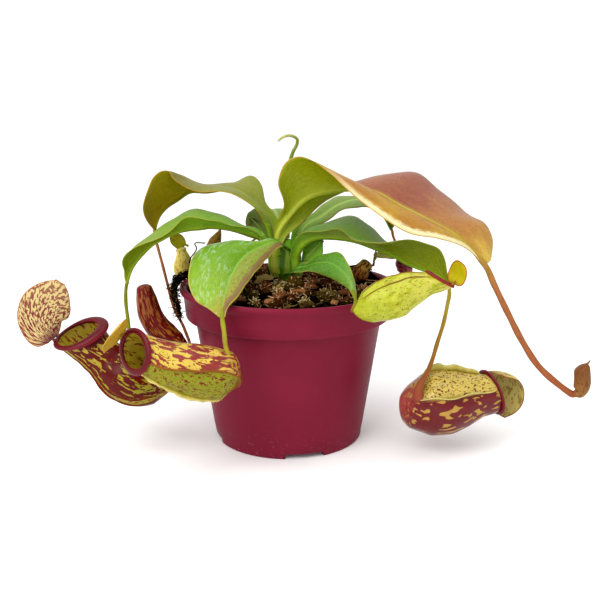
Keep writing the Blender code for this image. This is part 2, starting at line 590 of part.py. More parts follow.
def pitcher_rings(pitcher):
    """Rings up the outside, over the rolled lip and down into the hollow, if it has one."""
    stations = 9 if pitcher.mouth is None else 11
    sides = BUD_SIDES if pitcher.mouth is None else CUP_SIDES
    centres, facings, towards, across = cup_frames(pitcher, stations)
    places = np.linspace(0, 1, stations)
    radii = np.interp(places, np.linspace(0, 1, len(pitcher.radii)), pitcher.radii)
    stretches = 1 + (pitcher.stretch - 1) * np.clip((places - STRETCH_FROM) / (1 - STRETCH_FROM), 0, 1)

    def ring(index, radius, raised=0.0):
        return cup_ring(centres[index] + facings[index] * raised, towards[index], across[index],
                        radius, stretches[index], sides)

    rings = [ring(index, radii[index]) for index in range(stations)]
    if pitcher.mouth is None:
        return rings
    lip = pitcher.lip
    for out, up in ((1.0, 0.2), (1.1, 0.8), (0.3, 1.2), (-0.7, 0.5)):
        rings.append(ring(-1, radii[-1] + out * lip, up * lip))
    deepest = int(round((1 - pitcher.hollow) * (stations - 1)))
    for index in range(stations - 2, deepest, -1):
        rings.append(ring(index, radii[index] - WALL))
    rings.append(ring(deepest, radii[deepest] * 0.5))
    return rings


def hinge_place(pitcher):
    """Where a lid joins the lip, and the direction in which the mouth faces there."""
    centres, facings, towards, _ = cup_frames(pitcher, 11)
    lip = pitcher.lip if pitcher.mouth else 0.0
    reach = pitcher.radii[-1] * pitcher.stretch + lip / 2
    return centres[-1] + towards[-1] * reach + facings[-1] * (lip * 1.2 + 1.0), facings[-1]


def plate_rings(route, width, side, bulge):
    """Thin domed oval plate along a route, from its hinge to its apex."""
    curve = smooth_curve(route, 10)
    side = np.array(side, dtype=float)
    rings = []
    for t, centre, heading in zip(np.linspace(0.0, 1.0, len(curve)), curve, tangents(curve)):
        across = unit(side - heading * np.dot(side, heading))
        upward = np.cross(heading, across)
        half = max(width / 2 * math.sin(math.pi * t ** 0.85) ** 0.65, 1.0)
        row = [centre + across * half * s + upward * bulge * (1 - s * s) * math.sin(math.pi * t)
               for s in (-1.0, -0.5, 0.0, 0.5, 1.0)]
        over = [point + upward * LID_THICKNESS / 2 for point in row]
        under = [point - upward * LID_THICKNESS / 2 for point in reversed(row)]
        rings.append(over + under)
    return rings


# ---------------------------------------------------------------- seating loose pieces

def touches(points, faces, support_points, trees, shift):
    """Whether a shifted piece meets its supports or comes closer to them than the gap."""
    moved = [Vector(point) + shift for point in points]
    own_tree = BVHTree.FromPolygons(moved, faces)
    if any(own_tree.overlap(tree) for tree in trees):
        return True
    if any(tree.find_nearest(point)[3] < GAP for tree in trees for point in moved):
        return True
    return any(own_tree.find_nearest(point)[3] < GAP for point in support_points)


def settled(points, faces, supports, direction, reach=9.0, step=0.15):
    """Move a piece in from outside, against a direction, until it nearly touches."""
    direction = Vector(direction).normalized()
    trees = [surface_tree(item) for item in supports]
    middle = sum((Vector(point) for point in points), Vector()) / len(points)
    near = [vertex.co / MM for item in supports for vertex in item.data.vertices
            if (vertex.co / MM - middle).length < 45]
    distance = reach
    while distance > -reach and not touches(points, faces, near, trees, direction * (distance - step)):
        distance -= step
    return [Vector(point) + direction * distance for point in points]


# ---------------------------------------------------------------- litter on the soil

CHIPS = [
    # place, length, width, thickness and turn of each piece of bark
    ((6.0, -33.0), 9.0, 5.0, 2.4, 20.0), ((12.0, -22.0), 10.0, 5.5, 2.6, 115.0),
    ((-9.0, -44.0), 8.0, 4.5, 2.2, 60.0), ((30.0, -30.0), 9.0, 5.0, 2.4, 150.0),
    ((24.0, -43.0), 7.5, 4.5, 2.0, 85.0), ((38.0, 16.0), 9.5, 5.5, 2.8, 35.0),
]
MOSS_ROUTE = ((-50, -6, 94), (-55, -9, 94.5), (-59.5, -12, 92.5), (-61.2, -16, 87), (-58.5, -21, 79),
              (-57, -23.5, 72))
MOSS_RADII = (2.0, 3.4, 3.0, 2.4, 1.8, 0.9)
DEAD_LEAF = Lid(((-18, -14, 96), (-13, -12, 98), (-8, -9, 98)), 7.0, (-0.4, 1.0, 0.2), 1.5)


def chip_rings(place, length, width, thickness, turn, rng):
    """Rough rounded chip of bark lying flat."""
    angle = math.radians(turn)
    along = np.array([math.cos(angle), math.sin(angle), 0.0])
    beside = np.array([-math.sin(angle), math.cos(angle), 0.0])
    rings = []
    for t in np.linspace(-0.5, 0.5, 6):
        swell = math.sqrt(max(1 - (1.7 * t) ** 2, 0.12)) * rng.uniform(0.85, 1.1)
        centre = np.array([place[0], place[1], 95.0]) + along * length * t
        ring = []
        for step in range(8):
            turn_angle = step * math.pi / 4
            ring.append(centre + beside * math.cos(turn_angle) * width / 2 * swell * rng.uniform(0.9, 1.1)
                        + np.array([0, 0, 1.0]) * math.sin(turn_angle) * thickness / 2 * swell)
        rings.append(ring)
    return rings


def clump_rings(route, radii, sides, rng):
    """Lumpy strand of moss along a route."""
    curve = smooth_curve(route, 12)
    thickness = np.interp(np.linspace(0, 1, 12), np.linspace(0, 1, len(radii)), radii)
    rings = tube_rings(curve, thickness, sides)
    return [[centre + (point - centre) * rng.uniform(0.85, 1.12) for point in ring]
            for centre, ring in zip(curve, rings)]


# ---------------------------------------------------------------- the whole plant

def build_pitchers(soil, lime, red, brown, parent):
    """Every pitcher, by name."""
    dark = ("high_left", "low_right", "tall_right")
    pitchers = {}
    for name, pitcher in PITCHERS.items():
        points, faces = loft(pitcher_rings(pitcher))
        if pitcher.on_soil:
            points = settled(points, faces, [soil], (0, 0, 1))
        material = brown if pitcher.on_soil else red if name in dark else lime
        pitchers[name] = add_solid(f"{name}_pitcher", points, faces, material, parent)
    return pitchers


def build_lids(pitchers, material, parent):
    """Every lid, moved in until it nearly touches the back of its pitcher's mouth."""
    for name, lid in LIDS.items():
        hinge, facing = hinge_place(PITCHERS[name])
        points, faces = loft(plate_rings([hinge, *lid.axis], lid.width, lid.side, lid.bulge))
        points = settled(points, faces, [pitchers[name]], facing)
        add_solid(f"{name}_lid", points, faces, material, parent)


def build_litter(soil, pot, parent):
    """Bark, a dead leaf and the moss that overhangs the rim."""
    rng = random.Random(7)
    bark = finish("bark", (0.30, 0.16, 0.07), 0.9)
    for index, (place, length, width, thickness, turn) in enumerate(CHIPS):
        points, faces = loft(chip_rings(place, length, width, thickness, turn, rng))
        points = settled(points, faces, [soil], (0, 0, 1), reach=16.0)
        add_solid(f"bark_chip_{index + 1}", points, faces, bark, parent)
    points, faces = loft(clump_rings(MOSS_ROUTE, MOSS_RADII, 8, rng))
    points = settled(points, faces, [soil, pot], (0, 0, 1))
    add_solid("moss_clump", points, faces, finish("dry moss", (0.16, 0.12, 0.05), 0.95), parent)
    points, faces = loft(plate_rings(DEAD_LEAF.axis, DEAD_LEAF.width, DEAD_LEAF.side, DEAD_LEAF.bulge))
    points = settled(points, faces, [soil], (0, 0, 1), reach=14.0)
    add_solid("dead_leaf_piece", points, faces, finish("dead leaf", (0.45, 0.30, 0.14), 0.8), parent)


def build_shoot(parent, material):
    """Furled youngest leaf, which ends in a curled tendril."""
    route = [(STEM_X, 0.0, STEM_OUTLINE[-1][0] + 2 * GAP), (STEM_X, 0.2, 114), (-0.5, 3.4, 118), (0, 7.5, 126),
             (0, 9, 140), (1, 9, 153), (3, 7, 159), (5, 5, 163), (5, 3, 165.5), (3, 1, 167), (0, -1, 167.5),
             (-3, -3, 166.5), (-5, -4, 165)]
    curve = smooth_curve(route, 22)
    radii = np.interp(np.linspace(0, 1, 22), (0.0, 0.25, 0.6, 0.8, 1.0), (1.9, 2.3, 1.1, 0.9, 0.6))
    points, faces = loft(tube_rings(curve, radii, 7))
    return add_solid("shoot", points, faces, material, parent)


def main():
    """Build the plant."""
    clear_scene()
    plant = bpy.data.objects.new("plant", None)
    plant.location = (PLANT_OFFSET[0] * MM, PLANT_OFFSET[1] * MM, 0.0)
    bpy.context.collection.objects.link(plant)
    green = finish("leaf green", (0.20, 0.34, 0.05), 0.4)
    copper = finish("coppery leaf", (0.36, 0.20, 0.06), 0.4)
    olive = finish("old leaf", (0.14, 0.16, 0.04), 0.5)
    lime = finish("pitcher lime", (0.42, 0.40, 0.08), 0.35)
    red = finish("pitcher red", (0.28, 0.03, 0.02), 0.3)
    brown = finish("withered pitcher", (0.20, 0.11, 0.05), 0.7)
    stalk = finish("tendril", (0.40, 0.20, 0.08), 0.45)
    pot = build_pot(plant)
    soil = build_soil(plant)
    build_stem(plant)
    leaf_finish = {"tall_right": copper, "old_left": olive}
    blades = {}
    for name, leaf in LEAVES.items():
        blades[name] = build_blade(f"{name}_leaf", leaf, leaf_finish.get(name, green), plant)
    build_shoot(plant, green)
    pitchers = build_pitchers(soil, lime, red, brown, plant)
    build_lids(pitchers, lime, plant)
    for name in TENDRILS:
        build_tendril(name, blades[name], pitchers[name], stalk, plant)
    build_litter(soil, pot, plant)


main()
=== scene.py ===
"""Looks of a potted pitcher plant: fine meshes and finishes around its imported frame.

Every size and place below is in millimetres from the pot's axis at foot level, +X to the right,
-Y to the front and +Z up. Meshes are made in metres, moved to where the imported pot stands.
"""

import logging
import math
import random
from dataclasses import dataclass
from enum import IntEnum
from typing import Any, Iterable, Optional, Sequence

import bmesh
import bpy
import numpy as np
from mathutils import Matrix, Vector, noise

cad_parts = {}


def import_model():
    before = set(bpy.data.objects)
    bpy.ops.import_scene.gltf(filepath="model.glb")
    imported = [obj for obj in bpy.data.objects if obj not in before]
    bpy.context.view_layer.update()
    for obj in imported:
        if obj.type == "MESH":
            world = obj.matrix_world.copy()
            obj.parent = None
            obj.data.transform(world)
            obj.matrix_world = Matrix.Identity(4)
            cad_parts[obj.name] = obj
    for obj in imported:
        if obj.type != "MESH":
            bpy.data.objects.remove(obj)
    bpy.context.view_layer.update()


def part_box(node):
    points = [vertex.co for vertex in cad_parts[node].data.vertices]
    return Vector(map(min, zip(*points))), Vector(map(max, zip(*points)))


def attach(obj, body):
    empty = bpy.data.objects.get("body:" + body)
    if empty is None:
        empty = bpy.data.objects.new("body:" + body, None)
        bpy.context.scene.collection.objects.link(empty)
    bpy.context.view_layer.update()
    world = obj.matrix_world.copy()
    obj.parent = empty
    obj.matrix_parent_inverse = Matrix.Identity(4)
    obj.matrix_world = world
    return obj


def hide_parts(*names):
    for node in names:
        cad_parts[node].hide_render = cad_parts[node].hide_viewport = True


Array = np.ndarray
Node = bpy.types.Node
Socket = bpy.types.NodeSocket
Tree = bpy.types.NodeTree

log = logging.getLogger("pitcher_plant")

MM = 0.001
BODY = "root"
ANY_SIDE = (0.31, 0.17, 0.93)   # first side of a round section, along none of the curves


# ---------------------------------------------------------------- curves

def unit(vectors: Array) -> Array:
    """Scale one vector, or each of a row of vectors, to length one."""
    return vectors / np.maximum(np.linalg.norm(vectors, axis=-1, keepdims=True), 1e-9)


def around(count: int) -> Array:
    """Angles at equal steps round a circle."""
    return np.arange(count) * 2 * math.pi / count


def spread(values: Sequence[float], places: Array) -> Array:
    """Numbers at some shares of a run whose values stand at equal steps."""
    return np.interp(places, np.linspace(0.0, 1.0, len(values)), values)


def read_rows(places: Array, marks: Array, rows: Array) -> Array:
    """Rows of numbers at some places, read between those that stand at the marks."""
    return np.stack([np.interp(places, marks, rows[:, axis]) for axis in range(rows.shape[1])], axis=1)


def stacked(*parts: Array | float) -> Array:
    """Grids of numbers, rows of them or single ones, as the parts of vectors."""
    return np.stack(np.broadcast_arrays(*parts), axis=-1)


def circle(radius: Array | float, angles: Array | float, height: Array | float) -> Array:
    """Points at some radii, angles and heights about the upright axis."""
    return stacked(radius * np.cos(angles), radius * np.sin(angles), height)


def resampled(curve: Array, count: int) -> Array:
    """Read a polyline again at equal steps of its length."""
    run = run_length(curve)
    return read_rows(np.linspace(0.0, run[-1], count), run, curve)


def run_length(curve: Array) -> Array:
    """Length along a polyline from its start to each of its points."""
    return np.concatenate([[0.0], np.cumsum(np.linalg.norm(np.diff(curve, axis=0), axis=1))])


def smooth_curve(points: Sequence, count: int) -> Array:
    """Smooth curve through points.

    Args:
        points: what the curve passes through.
        count: number of points to return, at equal steps of length.

    Returns:
        The curve's points, one a row.
    """
    points = np.array(points, dtype=float)
    knots = run_length(points)
    slopes = np.gradient(points, knots, axis=0)
    samples = np.linspace(0.0, knots[-1], 40 * len(points))
    spans = np.clip(np.searchsorted(knots, samples, side="right") - 1, 0, len(points) - 2)
    length = (knots[spans + 1] - knots[spans])[:, None]
    t = (samples[:, None] - knots[spans][:, None]) / length
    curve = ((2 * t**3 - 3 * t**2 + 1) * points[spans] + (t**3 - 2 * t**2 + t) * length * slopes[spans]
             + (3 * t**2 - 2 * t**3) * points[spans + 1] + (t**3 - t**2) * length * slopes[spans + 1])
    return resampled(curve, count)


def tangents(curve: Array) -> Array:
    """Unit direction of a curve at each of its points."""
    return unit(np.gradient(curve, axis=0))


def smooth_step(low: float, high: float, values: Array) -> Array:
    """Ramp from 0 at low to 1 at high with soft ends."""
    t = np.clip((np.asarray(values, dtype=float) - low) / (high - low), 0.0, 1.0)
    return t * t * (3 - 2 * t)


def carried_sides(curve: Array, first: Sequence[float]) -> tuple[Array, Array]:
    """Side vectors carried along a curve without twisting.

    Args:
        curve: the curve's points.
        first: rough direction of the first side vector.

    Returns:
        The side vectors and the vectors square to them and to the curve.
    """
    directions = tangents(curve)
    side = np.array(first, dtype=float)
    sides = []
    for direction in directions:
        side = unit(side - direction * np.dot(side, direction))
        sides.append(side)
    sides = np.array(sides)
    return sides, np.cross(directions, sides)


def crosswise(curve: Array, side: Sequence[float]) -> tuple[Array, Array, Array]:
    """Directions along a curve, across it towards one side, and square to both."""
    headings = tangents(curve)
    across = unit(np.array(side) - headings * (headings @ side)[:, None])
    return headings, across, np.cross(headings, across)


# ---------------------------------------------------------------- meshes in the making

class Draft:
    """Mesh in the making. Each point carries two vectors that the finishes read.

    zone holds shares from 0 to 1 and skin holds millimetres along the surface; what each part of
    them means is said where the points are made.
    """

    def __init__(self) -> None:
        """Start empty."""
        self.points: list[Array] = []
        self.zones: list[Array] = []
        self.skins: list[Array] = []
        self.faces: list[tuple[int, ...]] = []
        self.slots: list[int] = []
        self.count = 0

    def add(self, points: Array, faces: Iterable, zone: Array, skin: Array,
            slot: int = 0) -> None:
        """Add points and faces that number those points from 0.

        Args:
            points: N x 3, in millimetres.
            faces: tuples of point numbers.
            zone: N x 3, or one row for all.
            skin: N x 3, or one row for all.
            slot: number of the finish that the faces take.
        """
        points = np.asarray(points, dtype=float).reshape(-1, 3)
        self.points.append(points)
        for rows, values in ((self.zones, zone), (self.skins, skin)):
            rows.append(np.broadcast_to(np.asarray(values, dtype=float).reshape(-1, 3), points.shape))
        start = len(self.faces)
        self.faces.extend(tuple(int(index) + self.count for index in face) for face in faces)
        self.slots.extend([slot] * (len(self.faces) - start))
        self.count += len(points)

    def rings(self, points: Array, zone: Array, skin: Array, slot: int = 0,
              caps: tuple[bool, bool] = (True, True), looped: bool = False) -> None:
        """Add a surface of closed rings.

        Args:
            points: rings x points of a ring x 3, in millimetres.
            zone: what the finishes read, shaped as points.
            skin: the same.
            slot: number of the finish.
            caps: whether the first and the last ring are filled.
            looped: whether the last ring joins the first.
        """
        points = np.asarray(points, dtype=float)
        rows, columns, _ = points.shape
        step = np.arange(columns)
        after = (step + 1) % columns
        faces: list = []
        for row in range(rows if looped else rows - 1):
            low = row * columns
            high = ((row + 1) % rows) * columns
            faces.extend(zip(low + step, low + after, high + after, high + step))
        if caps[0] and not looped:
            faces.append(tuple(reversed(range(columns))))
        if caps[1] and not looped:
            faces.append(tuple(range((rows - 1) * columns, rows * columns)))
        self.add(points, faces, *[np.broadcast_to(values, points.shape) for values in (zone, skin)], slot)

    def sheet(self, over: Array, under: Array, zone: Array, skin: Array) -> None:
        """Add a thin sheet as one closed skin.

        Args:
            over: rows x points across x 3, its upper side.
            under: its lower side.
            zone: what the finishes read above. Below, its third part is 0.
            skin: what the finishes read on both sides.
        """
        self.rings(*[np.concatenate([top, low[:, ::-1]], axis=1)
                     for top, low in ((over, under), (zone, zone * (1, 1, 0)), (skin, skin))])

    def tube(self, curve: Array, radii: Sequence[float] | float, sides: int = 12, slot: int = 0,
             flat: float = 1.0, share: tuple[float, float] = (0.0, 1.0)) -> None:
        """Add a tube along a curve.

        Args:
            curve: its middle line.
            radii: one radius for each point, or one for all.
            sides: points round it.
            slot: number of the finish.
            flat: height of its section as a share of its width.
            share: zone's first part at its start and its end.
        """
        side, other = carried_sides(curve, ANY_SIDE)
        radii = np.broadcast_to(np.asarray(radii, dtype=float), (len(curve),))
        angles = around(sides)
        section = (np.cos(angles)[None, :, None] * side[:, None]
                   + flat * np.sin(angles)[None, :, None] * other[:, None])
        points = curve[:, None] + radii[:, None, None] * section
        zone = stacked(np.linspace(*share, len(curve))[:, None], (angles / (2 * math.pi))[None], 1.0)
        self.rings(points, zone, circle(radii[:, None], angles, run_length(curve)[:, None]), slot)

    def piece(self, name: str, finishes: Sequence, stands_for: Sequence[str] = (),
              origin: Vector = Vector()) -> bpy.types.Object:
        """Make the object, dress it and let it ride on the plant.

        Args:
            name: the object's name.
            finishes: one finish for each slot number.
            stands_for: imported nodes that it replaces.
            origin: where the pot's axis stands, in metres.

        Returns:
            The new object.
        """
        mesh = bpy.data.meshes.new(name)
        points = np.concatenate(self.points) * MM + np.array(origin)
        mesh.from_pydata(points.tolist(), [], self.faces)
        for label, rows in (("zone", self.zones), ("skin", self.skins)):
            layer = mesh.attributes.new(label, "FLOAT_VECTOR", "POINT")
            layer.data.foreach_set("vector", np.concatenate(rows).astype(np.float32).ravel())
        mesh.polygons.foreach_set("material_index", self.slots)
        mesh.polygons.foreach_set("use_smooth", [True] * len(self.faces))
        for finish in finishes:
            mesh.materials.append(finish.material())
        mesh.validate()
        mesh.update()
        item = bpy.data.objects.new(name, mesh)
        bpy.context.scene.collection.objects.link(item)
        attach(item, BODY)
        if stands_for:
            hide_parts(*stands_for)
        log.info("%s: %d points, %d faces", name, self.count, len(self.faces))
        return item


# ---------------------------------------------------------------- colours and nodes
# The skin that points carry is in millimetres, so a noise's Scale is in features to the millimetre.

LIT = 0.70      # share of the colour seen under the bright studio light that a surface itself has
SOFT = {"interpolation_type": "SMOOTHSTEP"}


def linear(code: str, share: float = LIT) -> tuple[float, float, float, float]:
    """Turn an sRGB hex colour, as it looks when lit, into the linear one that shaders read."""
    parts = [int(code[start:start + 2], 16) / 255 for start in (1, 3, 5)]
    return (*[share * (p / 12.92 if p <= 0.04045 else ((p + 0.055) / 1.055) ** 2.4) for p in parts], 1.0)


def join(tree: Tree, value: Any, target: Socket) -> None:
    """Give an input a node, a node and the name of its output, a hex colour or a plain value."""
    if isinstance(value, Node):
        tree.links.new(next(s for s in value.outputs if s.enabled), target)
    elif isinstance(value, tuple) and isinstance(value[0], Node):
        tree.links.new(value[0].outputs[value[1]], target)
    else:
        target.default_value = linear(value) if isinstance(value, str) else value


def add(tree: Tree, kind: str, links: Optional[dict] = None, stops: Sequence = (),
        **settings) -> Node:
    """Add a node with its settings and links.

    Args:
        tree: the material's node tree.
        kind: the node's type, without ShaderNode before it.
        links: what each input gets, by the input's name or number.
        stops: places and hex colours of a colour ramp.
        settings: the node's own properties.

    Returns:
        The node.
    """
    node = tree.nodes.new(f"ShaderNode{kind}")
    for key, value in settings.items():
        setattr(node, key, value)
    for index, (place, code) in enumerate(stops):
        elements = node.color_ramp.elements
        element = elements[index] if index < 2 else elements.new(place)
        element.position = place
        element.color = linear(code)
    for key, value in (links or {}).items():
        named = [socket for socket in node.inputs if socket.enabled]
        join(tree, value, named[key] if isinstance(key, int) else next(s for s in named if s.name == key))
    return node


def carried(tree: Tree) -> tuple[Node, tuple]:
    """Parts of the zone that a mesh's points carry, and their skin in one piece."""
    zone = add(tree, "Attribute", attribute_name="zone")
    return (add(tree, "SeparateXYZ", {0: (zone, "Vector")}),
            (add(tree, "Attribute", attribute_name="skin"), "Vector"))


def lay(tree: Tree, colour: Any, *layers: tuple) -> Node:
    """Lay colours over one another.

    Args:
        tree: the material's node tree.
        colour: the lowest one.
        layers: for each of the others, the mask that shows it and the colour.

    Returns:
        Node that gives the result.
    """
    for mask, over in layers:
        colour = add(tree, "Mix", {"Factor": mask, "A": colour, "B": over}, data_type="RGBA")
    return colour


def product(tree: Tree, first: Any, *factors: Any) -> Node:
    """Multiply masks with one another and with plain numbers."""
    for factor in factors:
        first = add(tree, "Math", {0: first, 1: factor}, operation="MULTIPLY")
    return first


def wandering(tree: Tree, field: Node, reach: float, zone: Node) -> Node:
    """Share of the length, moved to and fro by an uneven field so that no colour ends in a straight line."""
    moved = add(tree, "Math", {0: field, 1: reach, 2: (zone, "X")}, operation="MULTIPLY_ADD")
    return add(tree, "Math", {0: moved, 1: reach / 2}, operation="SUBTRACT")


def shaded(tree: Tree, colour: Any, field: Node, shades: tuple[float, float],
           spread: tuple[float, float] = (0.3, 0.7)) -> Node:
    """Darken and lighten a colour by an uneven field.

    Args:
        tree: the material's node tree.
        colour: the colour.
        field: the field.
        shades: what the colour is multiplied by where the field is low and where it is high.
        spread: the field's values there.

    Returns:
        Node that gives the result.
    """
    shade = add(tree, "MapRange", {0: field, 1: spread[0], 2: spread[1], 3: shades[0], 4: shades[1]})
    return add(tree, "Mix", {"Factor": 1.0, "A": colour, "B": shade}, data_type="RGBA",
               blend_type="MULTIPLY")


def blotches(tree: Tree, vector: Any, size: Sequence[float], cover: float,
             detail: float = 2.0, soft: float = 0.02) -> Node:
    """Mask of irregular blotches.

    Args:
        tree: the material's node tree.
        vector: what gives the place in millimetres.
        size: rough size of a blotch along the three axes, in millimetres.
        cover: share of the surface that they cover.
        detail: how ragged they are.
        soft: softness of their edges.

    Returns:
        Node whose output is 1 inside a blotch and 0 outside.
    """
    scaled = add(tree, "VectorMath", {0: vector, 1: [1 / value for value in size]}, operation="MULTIPLY")
    field = add(tree, "TexNoise", {"Vector": scaled, "Scale": 1.0, "Detail": detail, "Roughness": 0.55,
                                   "Distortion": 0.35})
    level = 0.5 + 0.36 * (0.5 - cover)
    return add(tree, "MapRange", {0: field, 1: level - soft, 2: level + soft}, **SOFT)


@dataclass(frozen=True)
class Finish:
    """A surface's material, made once and then shared.

    A damp or waxy surface shows clear highlights, and a dull one barely any.
    """
    name: str

    def material(self) -> bpy.types.Material:
        """Make the material, or find it again."""
        found = bpy.data.materials.get(self.name)
        if found:
            return found
        material = bpy.data.materials.new(self.name)
        material.use_nodes = True
        shader = material.node_tree.nodes["Principled BSDF"]
        shader.inputs["Specular IOR Level"].default_value = 0.06
        self.paint(material.node_tree, shader)
        return material

    def paint(self, tree: Tree, shader: Node) -> None:
        """Add the nodes that colour the surface."""
        raise NotImplementedError

    def complete(self, tree: Tree, shader: Node, colour: Node,
                 height: Node, relief: tuple[float, float], values: dict) -> None:
        """Give the shader its colour, its relief and its plain values.

        Args:
            tree: the material's node tree.
            shader: its shader.
            colour: node that gives the colour.
            height: node that gives the relief's height.
            relief: the relief's strength, and its depth in millimetres.
            values: what the shader's other inputs get, by name.
        """
        bump = add(tree, "Bump", {"Strength": relief[0], "Distance": relief[1] * MM, "Height": height})
        for key, value in {"Base Color": colour, "Normal": bump, **values}.items():
            join(tree, value, shader.inputs[key])


@dataclass(frozen=True)
class LeafSkin(Finish):
    """Living leaf: waxy cuticle over green tissue, with a midrib and long fine veins.

    The wax gives broad soft highlights, and the veins show as faint lines that follow the margins.
    """
    upper: tuple            # places along the leaf and colours of its upper side
    lower: tuple            # the same for its lower side
    midrib: str             # midrib seen from above
    keel: str               # and from below
    margin: str
    vein: str = "#a9bd5e"
    veins: float = 0.25     # strength of the veins
    half: tuple = ()        # places and colours of one half of the upper side, where it differs
    half_side: float = 1.0  # which half, 1 for left and -1 for right
    core: str = ""          # colour that spreads from the midrib on the upper side
    core_width: float = 5.0
    band: str = ""          # colour of a band along one margin of the upper side: painted light on the coppery leaf, its own edge colour on the bright one
    band_side: float = 0.0  # which margin, 1 for left and -1 for right
    band_width: float = 6.0
    band_from: float = 0.0  # share of the length where the band begins
    rough: float = 0.38
    dew: float = 0.0        # strength of dried water marks and wet spots
    midrib_width: float = 0.9
    shine: float = 0.06     # strength of its highlights
    speck: str = ""         # colour of small specks on the half that differs

    def paint(self, tree: Tree, shader: Node) -> None:
        """Lay both sides' colours, then the band, veins, midrib and margin."""
        zone, place = carried(tree)
        skin = add(tree, "SeparateXYZ", {0: place})
        across = add(tree, "Math", {0: (skin, "Y")}, operation="ABSOLUTE")
        drawn_out = add(tree, "VectorMath", {0: place, 1: (0.05, 0.14, 0.0)}, operation="MULTIPLY")
        mottle = add(tree, "TexNoise", {"Vector": drawn_out, "Scale": 1.0, "Detail": 4.0, "Roughness": 0.6})
        fine = add(tree, "TexNoise", {"Vector": place, "Scale": 0.55, "Detail": 5.0, "Roughness": 0.65})
        along = wandering(tree, mottle, 0.36, zone)
        lower = add(tree, "ValToRGB", {0: along}, self.lower)
        colour = lay(tree, lower, ((zone, "Z"), self.upper_side(tree, zone, place, along, mottle, across)))
        colour = shaded(tree, colour, fine, (0.84, 1.14))
        if self.band:
            off_edge = add(tree, "Math", {0: fine, 1: -5.0, 2: (skin, "Z")}, operation="MULTIPLY_ADD")
            near = add(tree, "MapRange", {0: off_edge, 1: self.band_width - 2.5, 2: 0.0}, **SOFT)
            side = self.band_side
            sided = add(tree, "MapRange", {0: (zone, "Y"), 1: 0.05 * side, 2: 0.2 * side})
            begun = add(tree, "MapRange", {0: along, 1: self.band_from - 0.12, 2: self.band_from + 0.12})
            colour = lay(tree, colour, (product(tree, near, sided, begun, (zone, "Z")), self.band))
        wobble = add(tree, "Math", {0: mottle, 1: 1.2, 2: (zone, "Y")}, operation="MULTIPLY_ADD")
        lengthwise = add(tree, "Math", {0: product(tree, wobble, 46.0)}, operation="SINE")
        slant = add(tree, "Math", {0: across, 1: 1.3, 2: (skin, "X")}, operation="MULTIPLY_ADD")
        cross = add(tree, "Math", {0: product(tree, slant, 2.2)}, operation="SINE")
        relief = add(tree, "Math", {0: cross, 1: 0.4, 2: lengthwise}, operation="MULTIPLY_ADD")
        veined = add(tree, "MapRange", {0: relief, 1: 0.6, 2: 1.4, 4: self.veins})
        colour = lay(tree, colour, (veined, self.vein))
        if self.dew:
            colour, gloss = self.wet(tree, place, zone, colour)
        else:
            limits = {3: self.rough - 0.06, 4: self.rough + 0.08}
            gloss = add(tree, "MapRange", {0: fine, 1: 0.3, 2: 0.7, **limits})
        widths = {3: 2.2 * self.midrib_width, 4: 0.5 * self.midrib_width}
        width = add(tree, "MapRange", {0: (zone, "X"), **widths})
        share = add(tree, "Math", {0: across, 1: width}, operation="DIVIDE")
        on_rib = add(tree, "MapRange", {0: share, 1: 1.15, 2: 0.55}, **SOFT)
        on_edge = add(tree, "MapRange", {0: (skin, "Z"), 1: 0.75, 2: 0.3}, **SOFT)
        rib = lay(tree, self.keel, ((zone, "Z"), self.midrib))
        colour = lay(tree, colour, (on_rib, rib), (on_edge, self.margin))
        height = add(tree, "Math", {0: fine, 1: 1.5, 2: relief}, operation="MULTIPLY_ADD")
        self.complete(tree, shader, colour, height, (0.5, 0.08), {
            "Roughness": gloss, "Specular IOR Level": self.shine, "Subsurface Weight": 0.08,
            "Subsurface Scale": 1.0 * MM, "Subsurface Radius": (0.6, 1.0, 0.2)})

    def upper_side(self, tree: Tree, zone: Node, place: tuple, along: Node,
                   mottle: Node, across: Node) -> Node:
        """Colour of the upper side, with the half that differs and the core along the midrib."""
        upper = add(tree, "ValToRGB", {0: along}, self.upper)
        if self.half:
            other = add(tree, "ValToRGB", {0: along}, self.half)
            limits = {1: -0.03 * self.half_side, 2: 0.06 * self.half_side}
            sided = add(tree, "MapRange", {0: (zone, "Y"), **limits})
            upper = lay(tree, upper, (sided, other))
            if self.speck:
                marks = blotches(tree, place, (1.6, 0.9, 3.0), 0.22, soft=0.04)
                upper = lay(tree, upper, (product(tree, marks, sided, 0.55), self.speck))
        if self.core:
            reach = self.core_width
            away = add(tree, "Math", {0: mottle, 1: 0.9 * reach, 2: across}, operation="MULTIPLY_ADD")
            near = add(tree, "MapRange", {0: away, 1: 1.5 * reach, 2: 0.3 * reach, 4: 0.8}, **SOFT)
            upper = lay(tree, upper, (near, self.core))
        return upper

    def wet(self, tree: Tree, place: tuple, zone: Node,
            colour: Node) -> tuple[Node, Node]:
        """Whitish water marks and the wet gloss around them, on the upper side.

        Returns:
            Nodes that give the marked colour and the roughness.
        """
        marks = blotches(tree, place, (3.8, 1.3, 5.0), 0.42, detail=8.0, soft=0.05)
        patches = blotches(tree, place, (14.0, 9.0, 9.0), 0.5, detail=3.0, soft=0.14)
        sided = add(tree, "MapRange", {0: (zone, "Y"), 1: 0.1, 2: -0.15, 3: 0.1})
        marks = product(tree, marks, patches, sided, (zone, "Z"))
        return (lay(tree, colour, (product(tree, marks, self.dew), "#e2f6e0")),
                add(tree, "MapRange", {0: marks, 3: self.rough, 4: 0.2}))


